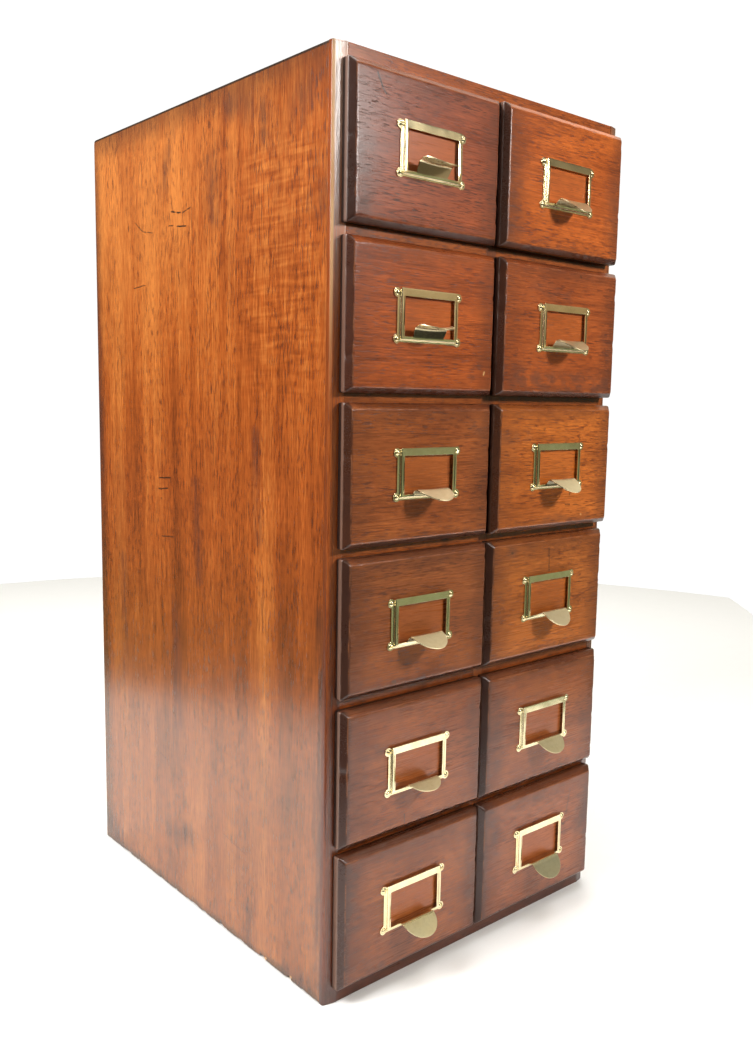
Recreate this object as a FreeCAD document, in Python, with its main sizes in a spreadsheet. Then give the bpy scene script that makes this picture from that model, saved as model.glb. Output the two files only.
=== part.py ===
# Index card cabinet: a wooden carcass with two columns of six small drawers.
# Each drawer has a bevelled, overlapping front with a brass label-frame pull.
# Millimetres. +Z is up, the drawers face -Y, the origin is the middle of the base.
import FreeCAD, Part
import Sketcher
import os

V = FreeCAD.Vector
doc = FreeCAD.newDocument("index_card_cabinet")

# ------------------------------------------------------------------ sizes
ROWS = (1, 2, 3, 4, 5, 6)
COLUMNS = ("left", "right")

SIZES = [
    ("width", 346.0), ("depth", 406.0), ("height", 762.0),
    ("side_thick", 12.5), ("lipping_depth", 7.0), ("lipping_round", 2.8),
    ("partition_thick", 12.0),
    ("back_thick", 6.0), ("back_rebate", 6.0), ("back_floor_gap", 3.0), ("back_top_cover", 7.0),
    ("rail_depth", 30.0), ("runner_width", 12.0),
    # drawer fronts: lip over the carcass, bevel round the face, tenon in the opening
    ("lip_overlap", 2.5), ("lip_thick", 11.0), ("lip_bevel", 4.7),
    ("tenon_thick", 8.0), ("slide_gap", 0.5),
    ("left_lip_start", 7.5), ("left_lip_stop", 170.3),
    ("right_lip_start", 172.3), ("right_lip_stop", 337.3),
    # drawer boxes
    ("box_length", 385.0), ("box_tall", 96.0), ("board_thick", 9.0),
    ("tail_long", 6.0), ("tail_root", 9.0), ("tail_tip", 11.0),
    ("tail_low", 20.0), ("tail_mid", 48.0), ("tail_high", 76.0),
    ("groove_low", 7.0), ("groove_tall", 5.2), ("groove_deep", 4.2),
    ("floor_thick", 5.0), ("housing_deep", 3.0), ("back_inset", 5.0), ("box_back_tall", 76.0),
    # label-frame pull, measured from its own middle
    ("sheet_thick", 1.0), ("frame_stand", 3.0),
    ("window_half", 27.3), ("rim_half", 30.8), ("flange_half", 33.5),
    ("window_top", 15.3), ("window_low", -16.0), ("frame_top", 21.5),
    ("rim_low", -18.6), ("flange_low", -20.3),
    ("ear_x", 33.6), ("ear_z", 17.9), ("ear_radius", 3.7), ("ear_hole", 1.35),
    ("tongue_thick", 1.2),
    # screws
    ("head_radius", 2.5), ("head_tall", 1.7), ("shank_radius", 1.2), ("shank_long", 10.0),
    ("slot_wide", 0.7), ("slot_deep", 0.8),
]
# top and bottom edge of the fronts in each row, from the floor; the fronts are fitted by hand
for row, top, low in zip(ROWS, (750.3, 623.5, 498.0, 376.3, 253.2, 130.5),
                         (632.0, 505.5, 383.6, 262.3, 137.3, 14.1)):
    SIZES += [("front_top_%d" % row, top), ("front_low_%d" % row, low)]
# how far each lip stands off the carcass: some drawers aren't pushed right home
STAND = {"left": (0.3, 0.3, 0.3, 0.3, 0.3, 0.3), "right": (3.7, 4.5, 4.0, 0.3, 0.3, 0.3)}
# the tongue of each pull is bent a little differently: neck forward and up, blade forward and
# down, half of its width, and how far it is off the middle of the frame
TONGUE = {
    "left": ((5.5, 8.5, 19.0, 4.6, 17.5, -1.5), (4.5, 7.4, 19.5, 2.2, 17.5, -1.5),
             (4.4, 3.8, 19.6, 8.6, 17.5, -1.0), (5.8, 4.9, 18.2, 8.9, 17.5, -1.0),
             (7.0, 3.5, 13.5, 4.5, 16.5, -1.5), (6.0, 1.5, 15.0, 10.5, 18.0, -0.5)),
    "right": ((6.0, 4.0, 17.0, 12.0, 17.0, -1.5), (6.0, 5.8, 18.0, 9.6, 17.0, -1.5),
              (5.6, 4.6, 18.2, 11.6, 17.0, -1.5), (6.0, 2.5, 14.0, 12.0, 17.0, 0.5),
              (6.0, 2.5, 13.5, 11.0, 17.0, 0.3), (6.0, 1.5, 13.0, 14.0, 18.5, 0.5)),
}
# the pulls were screwed on by eye: how far each one is off the middle of its front, sideways and up
OFF_MIDDLE = {
    "left": ((0.0, 0.8), (0.0, 1.7), (3.2, 0.1), (0.0, -0.8), (0.0, -2.4), (-2.0, -0.8)),
    "right": ((-1.0, -0.8), (1.2, 1.7), (0.2, 0.9), (-1.2, 0.0), (-1.0, -0.9), (0.0, 0.0)),
}
for column in COLUMNS:
    for row in ROWS:
        tag = "%s_%d" % (column, row)
        nf, nu, bf, bd, hw, sh = TONGUE[column][row - 1]
        SIZES += [("stand_off_" + tag, STAND[column][row - 1]),
                  ("neck_out_" + tag, nf), ("neck_up_" + tag, nu),
                  ("blade_out_" + tag, bf), ("blade_drop_" + tag, bd),
                  ("tongue_half_" + tag, hw), ("tongue_shift_" + tag, sh),
                  ("pull_side_" + tag, OFF_MIDDLE[column][row - 1][0]),
                  ("pull_lift_" + tag, OFF_MIDDLE[column][row - 1][1])]

sheet = doc.addObject("Spreadsheet::Sheet", "sizes")
for number, (alias, value) in enumerate(SIZES, 1):
    sheet.set("A%d" % number, alias)
    sheet.set("B%d" % number, "%.4f" % value)
    sheet.setAlias("B%d" % number, alias)
doc.recompute()


class Dim:
    """A size: the words that bind it to the sheet, and its value now."""

    def __init__(self, text, number):
        self.text, self.number = text, float(number)

    def _join(self, sign, other, swap=False):
        a, b = self, other if isinstance(other, Dim) else Dim(repr(float(other)), other)
        if swap:
            a, b = b, a
        number = {"+": a.number + b.number, "-": a.number - b.number,
                  "*": a.number * b.number,
                  "/": a.number / b.number if b.number else 0.0}[sign]
        return Dim("(%s %s %s)" % (a.text, sign, b.text), number)

    def __add__(self, o): return self._join("+", o)
    def __radd__(self, o): return self._join("+", o, True)
    def __sub__(self, o): return self._join("-", o)
    def __rsub__(self, o): return self._join("-", o, True)
    def __mul__(self, o): return self._join("*", o)
    def __rmul__(self, o): return self._join("*", o, True)
    def __truediv__(self, o): return self._join("/", o)
    def __neg__(self): return Dim("(0 - %s)" % self.text, -self.number)


KNOWN = dict(SIZES)


def d(alias):
    return Dim("sizes." + alias, KNOWN[alias])


def as_dim(v):
    return v if isinstance(v, Dim) else Dim(repr(float(v)), v)


def bind(obj, prop, size):
    """Ties one property of a piece to the sheet."""
    obj.setExpression(prop, as_dim(size).text)


def place(obj, x, y, z):
    obj.Placement = FreeCAD.Placement(V(as_dim(x).number, as_dim(y).number, as_dim(z).number),
                                      FreeCAD.Rotation())
    bind(obj, "Placement.Base.x", x)
    bind(obj, "Placement.Base.y", y)
    bind(obj, "Placement.Base.z", z)


def plane(body, role):
    return [f for f in body.Origin.OriginFeatures if f.Role == role][0]


def sketch(body, name, role, offset=None):
    sk = body.newObject("Sketcher::SketchObject", name)
    sk.AttachmentSupport = [(plane(body, role), "")]
    sk.MapMode = "FlatFace"
    if offset is not None:
        sk.AttachmentOffset = FreeCAD.Placement(V(0, 0, as_dim(offset).number), FreeCAD.Rotation())
        bind(sk, "AttachmentOffset.Base.z", offset)
    return sk


def outline(sk, points):
    """A closed run of straight lines whose corners are all tied to the sheet."""
    points = [(as_dim(a), as_dim(b)) for a, b in points]
    first, n = sk.GeometryCount, len(points)
    for i in range(n):
        a, b = points[i], points[(i + 1) % n]
        sk.addGeometry(Part.LineSegment(V(a[0].number, a[1].number, 0),
                                        V(b[0].number, b[1].number, 0)), False)
    for i in range(n):
        sk.addConstraint(Sketcher.Constraint("Coincident", first + i, 2, first + (i + 1) % n, 1))
    for i, (a, b) in enumerate(points):
        for kind, size in (("DistanceX", a), ("DistanceY", b)):
            c = sk.addConstraint(Sketcher.Constraint(kind, -1, 1, first + i, 1, size.number))
            sk.setExpression("Constraints[%d]" % c, size.text)


def box_outline(sk, x0, x1, y0, y1):
    outline(sk, [(x0, y0), (x1, y0), (x1, y1), (x0, y1)])


def ring(sk, x, y, r):
    """A circle tied to the sheet."""
    x, y, r = as_dim(x), as_dim(y), as_dim(r)
    g = sk.addGeometry(Part.Circle(V(x.number, y.number, 0), V(0, 0, 1), r.number), False)
    for kind, size, args in (("Radius", r, (g,)), ("DistanceX", x, (-1, 1, g, 3)),
                             ("DistanceY", y, (-1, 1, g, 3))):
        c = sk.addConstraint(Sketcher.Constraint(kind, *args, size.number))
        sk.setExpression("Constraints[%d]" % c, size.text)


def pad(body, sk, name, length, back=False, middle=False):
    p = body.newObject("PartDesign::Pad", name)
    p.Profile = sk
    bind(p, "Length", length)
    p.Length = as_dim(length).number
    p.Reversed = back
    p.Midplane = middle
    sk.Visibility = False
    body.Tip = p
    return p


def pocket(body, sk, name, length, back=False):
    p = body.newObject("PartDesign::Pocket", name)
    p.Profile = sk
    bind(p, "Length", length)
    p.Length = as_dim(length).number
    p.Reversed = back
    sk.Visibility = False
    body.Tip = p
    return p


def new_body(label):
    b = doc.addObject("PartDesign::Body", label)
    b.Label = label
    return b


def board(name, x0, x1, y0, y1, z0, z1):
    """A squared board between two corners."""
    b = doc.addObject("Part::Box", name)
    b.Label = name
    for prop, lo, hi in (("Length", x0, x1), ("Width", y0, y1), ("Height", z0, z1)):
        bind(b, prop, as_dim(hi) - as_dim(lo))
    place(b, x0, y0, z0)
    return b


def group(label, members):
    c = doc.addObject("Part::Compound", label)
    c.Label = label
    c.Links = members
    return c


def copy_of(name, body, x, y, z):
    """The same piece again, in another place."""
    k = doc.addObject("App::Link", name)
    k.LinkedObject = body
    k.LinkTransform = True
    place(k, x, y, z)
    return k


nodes = []      # (label, object, number of separate solids)

# ------------------------------------------------------------------ carcass
half_w = d("width") / 2
front_y = -(d("depth") / 2)
rear_y = d("depth") / 2
back_y = rear_y - d("back_thick")
side_in = half_w - d("side_thick")
top_under = d("front_top_1") - d("lip_overlap")
floor_top = d("front_low_6") + d("lip_overlap")
back_top = top_under + d("back_top_cover")

# side panels: full height, with a rebate for the back along the rear inner edge
for label, sign in (("left_side", -1), ("right_side", 1)):
    body = new_body(label)
    sk = sketch(body, label + "_plan", "XY_Plane")
    y0 = front_y + d("lipping_depth")
    outline(sk, [(sign * half_w, y0), (sign * half_w, rear_y),
                 (sign * (side_in + d("back_rebate")), rear_y),
                 (sign * (side_in + d("back_rebate")), back_y),
                 (sign * side_in, back_y), (sign * side_in, y0)])
    pad(body, sk, label + "_panel", d("height"))
    nodes.append((label, body, 1))

# solid lippings along the front edges of the sides, with the outer corner rubbed round
lippings = []
for label, sign in (("left_lipping", -1), ("right_lipping", 1)):
    body = new_body(label)
    sk = sketch(body, label + "_plan", "XY_Plane")
    box_outline(sk, sign * side_in, sign * half_w, front_y, front_y + d("lipping_depth"))
    strip = pad(body, sk, label + "_strip", d("height"))
    doc.recompute()
    edges = ["Edge%d" % (i + 1) for i, e in enumerate(strip.Shape.Edges)
             if all(abs(v.X - sign * half_w.number) < 1e-6 and abs(v.Y - front_y.number) < 1e-6
                    for v in e.Vertexes)]
    rounded = body.newObject("PartDesign::Fillet", label + "_arris")
    rounded.Base = (strip, edges)
    rounded.Radius = KNOWN["lipping_round"]
    bind(rounded, "Radius", d("lipping_round"))
    body.Tip = rounded
    nodes.append((label, body, 1))

# top panel between the sides, rebated along the rear for the back
body = new_body("top_panel")
sk = sketch(body, "top_panel_section", "YZ_Plane")
outline(sk, [(front_y, top_under), (back_y, top_under), (back_y, back_top),
             (rear_y, back_top), (rear_y, d("height")), (front_y, d("height"))])
pad(body, sk, "top_panel_board", side_in * 2, middle=True)
nodes.append(("top_panel", body, 1))

nodes.append(("bottom_panel", board("bottom_panel", -side_in, side_in, front_y, back_y, 0, floor_top), 1))
nodes.append(("centre_partition",
              board("centre_partition", -(d("partition_thick") / 2), d("partition_thick") / 2,
                    front_y, back_y, floor_top, top_under), 1))
back_half = side_in + d("back_rebate")
nodes.append(("back_panel", board("back_panel", -back_half, back_half, back_y, rear_y,
                                  d("back_floor_gap"), back_top), 1))

# front rails and, behind them, the runners that the drawers slide on
rails, runners = [], []
part_half = d("partition_thick") / 2
for row in ROWS[:-1]:
    z1 = d("front_low_%d" % row) + d("lip_overlap")
    z0 = d("front_top_%d" % (row + 1)) - d("lip_overlap")
    y1 = front_y + d("rail_depth")
    for column, xa, xb in (("left", -side_in, -part_half), ("right", part_half, side_in)):
        tag = "%s_%d" % (column, row)
        rails.append(board("front_rail_" + tag, xa, xb, front_y, y1, z0, z1))
        runners.append(board("runner_" + tag + "_a", xa, xa + d("runner_width"), y1, back_y, z0, z1))
        runners.append(board("runner_" + tag + "_b", xb - d("runner_width"), xb, y1, back_y, z0, z1))
nodes.append(("front_rails", group("front_rails", rails), len(rails)))
nodes.append(("drawer_runners", group("drawer_runners", runners), len(runners)))

# ------------------------------------------------------------------ slotted round-head screw
screw = new_body("slotted_screw")
sk = sketch(screw, "screw_profile", "XY_Plane")
hr, ht, sr, sl = d("head_radius"), d("head_tall"), d("shank_radius"), d("shank_long")
outline(sk, [(0, sl), (sr * 0.35, sl - 0.6), (sr, sl - 3.0), (sr, 0), (hr, 0), (hr, -(ht * 0.3)),
             (hr * 0.8, -(ht * 0.72)), (hr * 0.42, -(ht * 0.95)), (0, -ht)])
turned = screw.newObject("PartDesign::Revolution", "screw_turned")
turned.Profile = sk
turned.ReferenceAxis = (sk, ["V_Axis"])
turned.Angle = 360.0
screw.Tip = turned
doc.recompute()
before = turned.Shape.Volume
sk = sketch(screw, "screw_slot_shape", "XZ_Plane", ht)
box_outline(sk, -(hr * 1.2), hr * 1.2, -(d("slot_wide") / 2), d("slot_wide") / 2)
pocket(screw, sk, "screw_slot", d("slot_deep"))
doc.recompute()
assert screw.Shape.Volume < before - 1.0, "the screw slot cuts nothing"

# the back is screwed to the top, bottom, sides and partition from behind
spots = []
for i, x in enumerate((-(side_in * 0.72), as_dim(0), side_in * 0.72)):
    spots.append((x, top_under + d("back_top_cover") / 2))
    spots.append((x, floor_top * 0.55))
for sign in (-1, 1):
    for share in (0.17, 0.5, 0.83):
        spots.append((sign * (side_in + d("back_rebate") / 2), d("height") * share))
for share in (0.33, 0.67):
    spots.append((as_dim(0), d("height") * share))
back_screws = []
for i, (x, z) in enumerate(spots):
    k = copy_of("back_screw_%d" % (i + 1), screw, x, rear_y, z)
    k.Placement = FreeCAD.Placement(k.Placement.Base, FreeCAD.Rotation(V(0, 0, 1), 180))
    back_screws.append(k)
nodes.append(("back_panel_screws", group("back_panel_screws", back_screws), len(back_screws)))

# ------------------------------------------------------------------ boards of one drawer box
box_half = (side_in - part_half) / 2 - d("slide_gap")
inner_half = box_half - d("board_thick")
tails = [d("tail_low"), d("tail_mid"), d("tail_high")]


def side_board(label, inner_at, flip):
    """A drawer side: dovetail tails at the front end, a groove for the floor, a housing for the back."""
    body = new_body(label)
    sk = sketch(body, label + "_outline", "YZ_Plane")
    pts = [(0, 0)]
    for zc in tails:
        pts += [(0, zc - d("tail_root")), (-d("tail_long"), zc - d("tail_tip")),
                (-d("tail_long"), zc + d("tail_tip")), (0, zc + d("tail_root"))]
    pts += [(0, d("box_tall")), (d("box_length"), d("box_tall")), (d("box_length"), 0)]
    outline(sk, pts)
    first = pad(body, sk, label + "_board", d("board_thick"))
    doc.recompute()
    v0 = first.Shape.Volume
    sk = sketch(body, label + "_groove_shape", "YZ_Plane", inner_at)
    box_outline(sk, 0, d("box_length"), d("groove_low"), d("groove_low") + d("groove_tall"))
    pocket(body, sk, label + "_groove", d("groove_deep"), back=flip)
    sk = sketch(body, label + "_housing_shape", "YZ_Plane", inner_at)
    y1 = d("box_length") - d("back_inset")
    box_outline(sk, y1 - d("board_thick"), y1, d("groove_low") + d("groove_tall"),
                d("groove_low") + d("groove_tall") + d("box_back_tall"))
    pocket(body, sk, label + "_housing", d("housing_deep"), back=flip)
    doc.recompute()
    gone = v0 - body.Shape.Volume
    want = (KNOWN["box_length"] * KNOWN["groove_tall"] * KNOWN["groove_deep"]
            + KNOWN["board_thick"] * KNOWN["box_back_tall"] * KNOWN["housing_deep"])
    assert abs(gone - want) < 1.0, (label, gone, want)
    return body


left_board = side_board("drawer_left_board", d("board_thick"), False)
right_board = side_board("drawer_right_board", 0, True)

back_board = new_body("drawer_back_board")
sk = sketch(back_board, "drawer_back_outline", "XZ_Plane")
box_outline(sk, -(inner_half + d("housing_deep")), inner_half + d("housing_deep"), 0, d("box_back_tall"))
pad(back_board, sk, "drawer_back_pad", d("board_thick"), back=True)

floor_board = new_body("drawer_floor_board")
sk = sketch(floor_board, "drawer_floor_outline", "XY_Plane")
floor_half = inner_half + d("groove_deep") - 0.2
box_outline(sk, -floor_half, floor_half, 0, d("box_length") - d("back_inset"))
pad(floor_board, sk, "drawer_floor_pad", d("floor_thick"))
doc.recompute()

# ------------------------------------------------------------------ the twelve drawers
column_mid = (side_in + part_half) / 2
for column in COLUMNS:
    mid_x = -column_mid if column == "left" else column_mid
    lip_a = d(column + "_lip_start") - half_w - mid_x
    lip_b = d(column + "_lip_stop") - half_w - mid_x
    for row in ROWS:
        name = "%s_drawer_%d" % (column, row)
        tag = "%s_%d" % (column, row)
        low, tall = d("front_low_%d" % row), d("front_top_%d" % row) - d("front_low_%d" % row)
        lip_y = front_y - d("stand_off_" + tag)
        base = d("lip_overlap") + d("slide_gap")      # bottom of the box, from the lip's lower edge

        # front: overlapping lip with a bevelled face, a tenon in the opening, dovetail sockets
        body = new_body(name + "_front")
        sk = sketch(body, name + "_lip_outline", "XZ_Plane")
        box_outline(sk, lip_a, lip_b, 0, tall)
        lip = pad(body, sk, name + "_lip", d("lip_thick"))
        doc.recompute()
        edges = ["Edge%d" % (i + 1) for i, e in enumerate(lip.Shape.Edges)
                 if all(abs(v.Y + KNOWN["lip_thick"]) < 1e-6 for v in e.Vertexes)]
        assert len(edges) == 4
        bevel = body.newObject("PartDesign::Chamfer", name + "_bevel")
        bevel.Base = (lip, edges)
        bevel.Size = KNOWN["lip_bevel"]
        bind(bevel, "Size", d("lip_bevel"))
        body.Tip = bevel
        sk = sketch(body, name + "_tenon_outline", "XZ_Plane")
        box_outline(sk, -box_half, box_half, base, tall - base)
        pad(body, sk, name + "_tenon", d("tenon_thick"), back=True)
        doc.recompute()
        v0 = body.Shape.Volume
        for end, flip in ((-box_half, True), (box_half, False)):
            sk = sketch(body, name + "_socket_shape", "YZ_Plane", end)
            y1 = d("tenon_thick")
            for zc in tails:
                outline(sk, [(y1, base + zc - d("tail_root")), (y1, base + zc + d("tail_root")),
                             (y1 - d("tail_long"), base + zc + d("tail_tip")),
                             (y1 - d("tail_long"), base + zc - d("tail_tip"))])
            pocket(body, sk, name + "_sockets", d("board_thick"), back=flip)
        place(body, mid_x, lip_y, low)
        doc.recompute()
        want = (2 * 3 * KNOWN["tail_long"] * (KNOWN["tail_root"] + KNOWN["tail_tip"])
                * KNOWN["board_thick"])
        assert abs(v0 - body.Shape.Volume - want) < 1.0, (name, v0 - body.Shape.Volume, want)
        nodes.append((name + "_front", body, 1))

        # box: two sides, a back and a floor
        y0, z0 = lip_y + d("tenon_thick"), low + base
        over = d("groove_low") + d("groove_tall")
        nodes.append((name + "_box", group(name + "_box", [
            copy_of(name + "_box_left", left_board, mid_x - box_half, y0, z0),
            copy_of(name + "_box_right", right_board, mid_x + inner_half, y0, z0),
            copy_of(name + "_box_back", back_board, mid_x,
                    y0 + d("box_length") - d("back_inset") - d("board_thick"), z0 + over),
            copy_of(name + "_box_floor", floor_board, mid_x, y0, z0 + d("groove_low") + 0.1)]), 4))

        # pull: flat flange with ears, a raised rim that holds the card, a finger tongue
        body = new_body(name + "_pull")
        t, stand = d("sheet_thick"), d("frame_stand")
        fh, rh, wh = d("flange_half"), d("rim_half"), d("window_half")
        sk = sketch(body, name + "_flange_outline", "XZ_Plane")
        outline(sk, [(-fh, d("frame_top")), (-fh, d("flange_low")), (fh, d("flange_low")),
                     (fh, d("frame_top")), (rh - t, d("frame_top")), (rh - t, d("rim_low") + t),
                     (-(rh - t), d("rim_low") + t), (-(rh - t), d("frame_top"))])
        pad(body, sk, name + "_flange", t)
        for sx in (-1, 1):
            for sz in (-1, 1):
                sk = sketch(body, name + "_ear_shape", "XZ_Plane")
                ring(sk, sx * d("ear_x"), sz * d("ear_z"), d("ear_radius"))
                pad(body, sk, name + "_ear", t)
        sk = sketch(body, name + "_wall_outline", "XZ_Plane")
        outline(sk, [(-rh, d("frame_top")), (-rh, d("rim_low")), (rh, d("rim_low")),
                     (rh, d("frame_top")), (rh - t, d("frame_top")), (rh - t, d("rim_low") + t),
                     (-(rh - t), d("rim_low") + t), (-(rh - t), d("frame_top"))])
        pad(body, sk, name + "_wall", stand)
        sk = sketch(body, name + "_rim_outline", "XZ_Plane", stand - t)
        box_outline(sk, -rh, rh, d("rim_low"), d("frame_top"))
        box_outline(sk, -wh, wh, d("window_low"), d("window_top"))
        pad(body, sk, name + "_rim", t)
        nf, nu = d("neck_out_" + tag), d("neck_up_" + tag)
        bf, bd = d("blade_out_" + tag), d("blade_drop_" + tag)
        tt, wl = d("tongue_thick"), d("window_low")
        th, sh = d("tongue_half_" + tag), d("tongue_shift_" + tag)
        sk = sketch(body, name + "_tongue_section", "YZ_Plane", sh)
        y0 = -(stand - t)
        outline(sk, [(y0, wl - tt), (y0, wl), (y0 - nf, wl + nu), (y0 - nf - bf, wl + nu - bd),
                     (y0 - nf - bf, wl + nu - bd - tt), (y0 - nf, wl + nu - tt)])
        pad(body, sk, name + "_tongue", th * 2, middle=True)
        doc.recompute()
        v0 = body.Shape.Volume
        # the blade is trimmed to a half oval, in plan
        sk = sketch(body, name + "_trim_shape", "XY_Plane", -40)
        crease, tip = y0 - nf, y0 - nf - bf
        half_oval = [(th * 0.9808, crease - bf * 0.1951), (th * 0.9239, crease - bf * 0.3827),
                     (th * 0.8315, crease - bf * 0.5556), (th * 0.7071, crease - bf * 0.7071),
                     (th * 0.5556, crease - bf * 0.8315), (th * 0.3827, crease - bf * 0.9239),
                     (th * 0.1951, crease - bf * 0.9808)]
        outline(sk, [(sh + x, y) for x, y in
                     [(-(th + 2), crease), (-th, crease)]
                     + [(-x, y) for x, y in half_oval] + [(as_dim(0), tip)] + half_oval[::-1]
                     + [(th, crease), (th + 2, crease), (th + 2, tip - 3), (-(th + 2), tip - 3)]])
        pocket(body, sk, name + "_trim", 80, back=True)
        doc.recompute()
        assert body.Shape.Volume < v0 - 30.0, (name, "the tongue is not trimmed")
        v0 = body.Shape.Volume
        sk = sketch(body, name + "_hole_shape", "XZ_Plane", t)
        for sx in (-1, 1):
            for sz in (-1, 1):
                ring(sk, sx * d("ear_x"), sz * d("ear_z"), d("ear_hole"))
        pocket(body, sk, name + "_holes", t)
        pull_x = (lip_a + lip_b) / 2 + mid_x + d("pull_side_" + tag)
        face_y = lip_y - d("lip_thick")
        pull_z = low + tall / 2 + d("pull_lift_" + tag)
        place(body, pull_x, face_y, pull_z)
        doc.recompute()
        assert abs(v0 - body.Shape.Volume - 4 * 3.14159 * KNOWN["ear_hole"] ** 2
                   * KNOWN["sheet_thick"]) < 0.2, (name, "screw holes")
        nodes.append((name + "_pull", body, 1))

        # its four screws
        four = []
        for sx in (-1, 1):
            for sz in (-1, 1):
                four.append(copy_of("%s_screw_%d" % (name, len(four) + 1), screw,
                                    pull_x + sx * d("ear_x"), face_y - t, pull_z + sz * d("ear_z")))
        nodes.append((name + "_pull_screws", group(name + "_pull_screws", four), 4))

doc.recompute()

# ------------------------------------------------------------------ check, then write
for obj in doc.Objects:
    if "Invalid" in obj.State or "Error" in obj.State:
        raise RuntimeError("%s failed: %s" % (obj.Label, obj.State))
for label, obj, count in nodes:
    shape = obj.Shape
    if shape.isNull() or not shape.isValid():
        raise RuntimeError(label + " has no valid shape")
    if len(shape.Solids) != count:
        raise RuntimeError("%s has %d solids, not %d" % (label, len(shape.Solids), count))
    if obj.Label != label:
        raise RuntimeError("label %s became %s" % (label, obj.Label))

os.makedirs("parts", exist_ok=True)
for label, obj, count in nodes:
    obj.Shape.exportStep("parts/%s.step" % label)
print(len(nodes), "nodes written")
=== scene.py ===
import math
import random

import bmesh
import bpy
from mathutils import Matrix, Vector, noise


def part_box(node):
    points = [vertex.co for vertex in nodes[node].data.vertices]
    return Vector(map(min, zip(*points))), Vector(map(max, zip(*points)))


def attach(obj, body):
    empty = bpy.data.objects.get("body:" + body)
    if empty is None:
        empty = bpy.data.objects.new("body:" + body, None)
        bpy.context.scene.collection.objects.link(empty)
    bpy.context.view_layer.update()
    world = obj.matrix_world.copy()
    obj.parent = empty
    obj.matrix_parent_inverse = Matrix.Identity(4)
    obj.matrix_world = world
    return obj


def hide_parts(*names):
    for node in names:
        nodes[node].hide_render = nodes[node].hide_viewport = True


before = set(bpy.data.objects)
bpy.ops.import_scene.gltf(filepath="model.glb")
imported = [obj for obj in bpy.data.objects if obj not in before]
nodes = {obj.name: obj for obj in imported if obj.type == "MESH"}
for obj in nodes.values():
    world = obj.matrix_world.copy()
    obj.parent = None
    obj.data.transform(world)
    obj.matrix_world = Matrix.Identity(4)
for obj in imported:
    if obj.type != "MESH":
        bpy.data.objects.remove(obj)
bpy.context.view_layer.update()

scene = bpy.context.scene
MM = 0.001
COLUMNS = ("left", "right")
ROWS = range(1, 7)


def srgb(r, g, b):
    """A colour given as 0-255 sRGB, as linear RGBA."""
    return tuple(((c / 255 + 0.055) / 1.055) ** 2.4 if c > 10 else c / 255 / 12.92
                 for c in (r, g, b)) + (1.0,)


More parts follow.
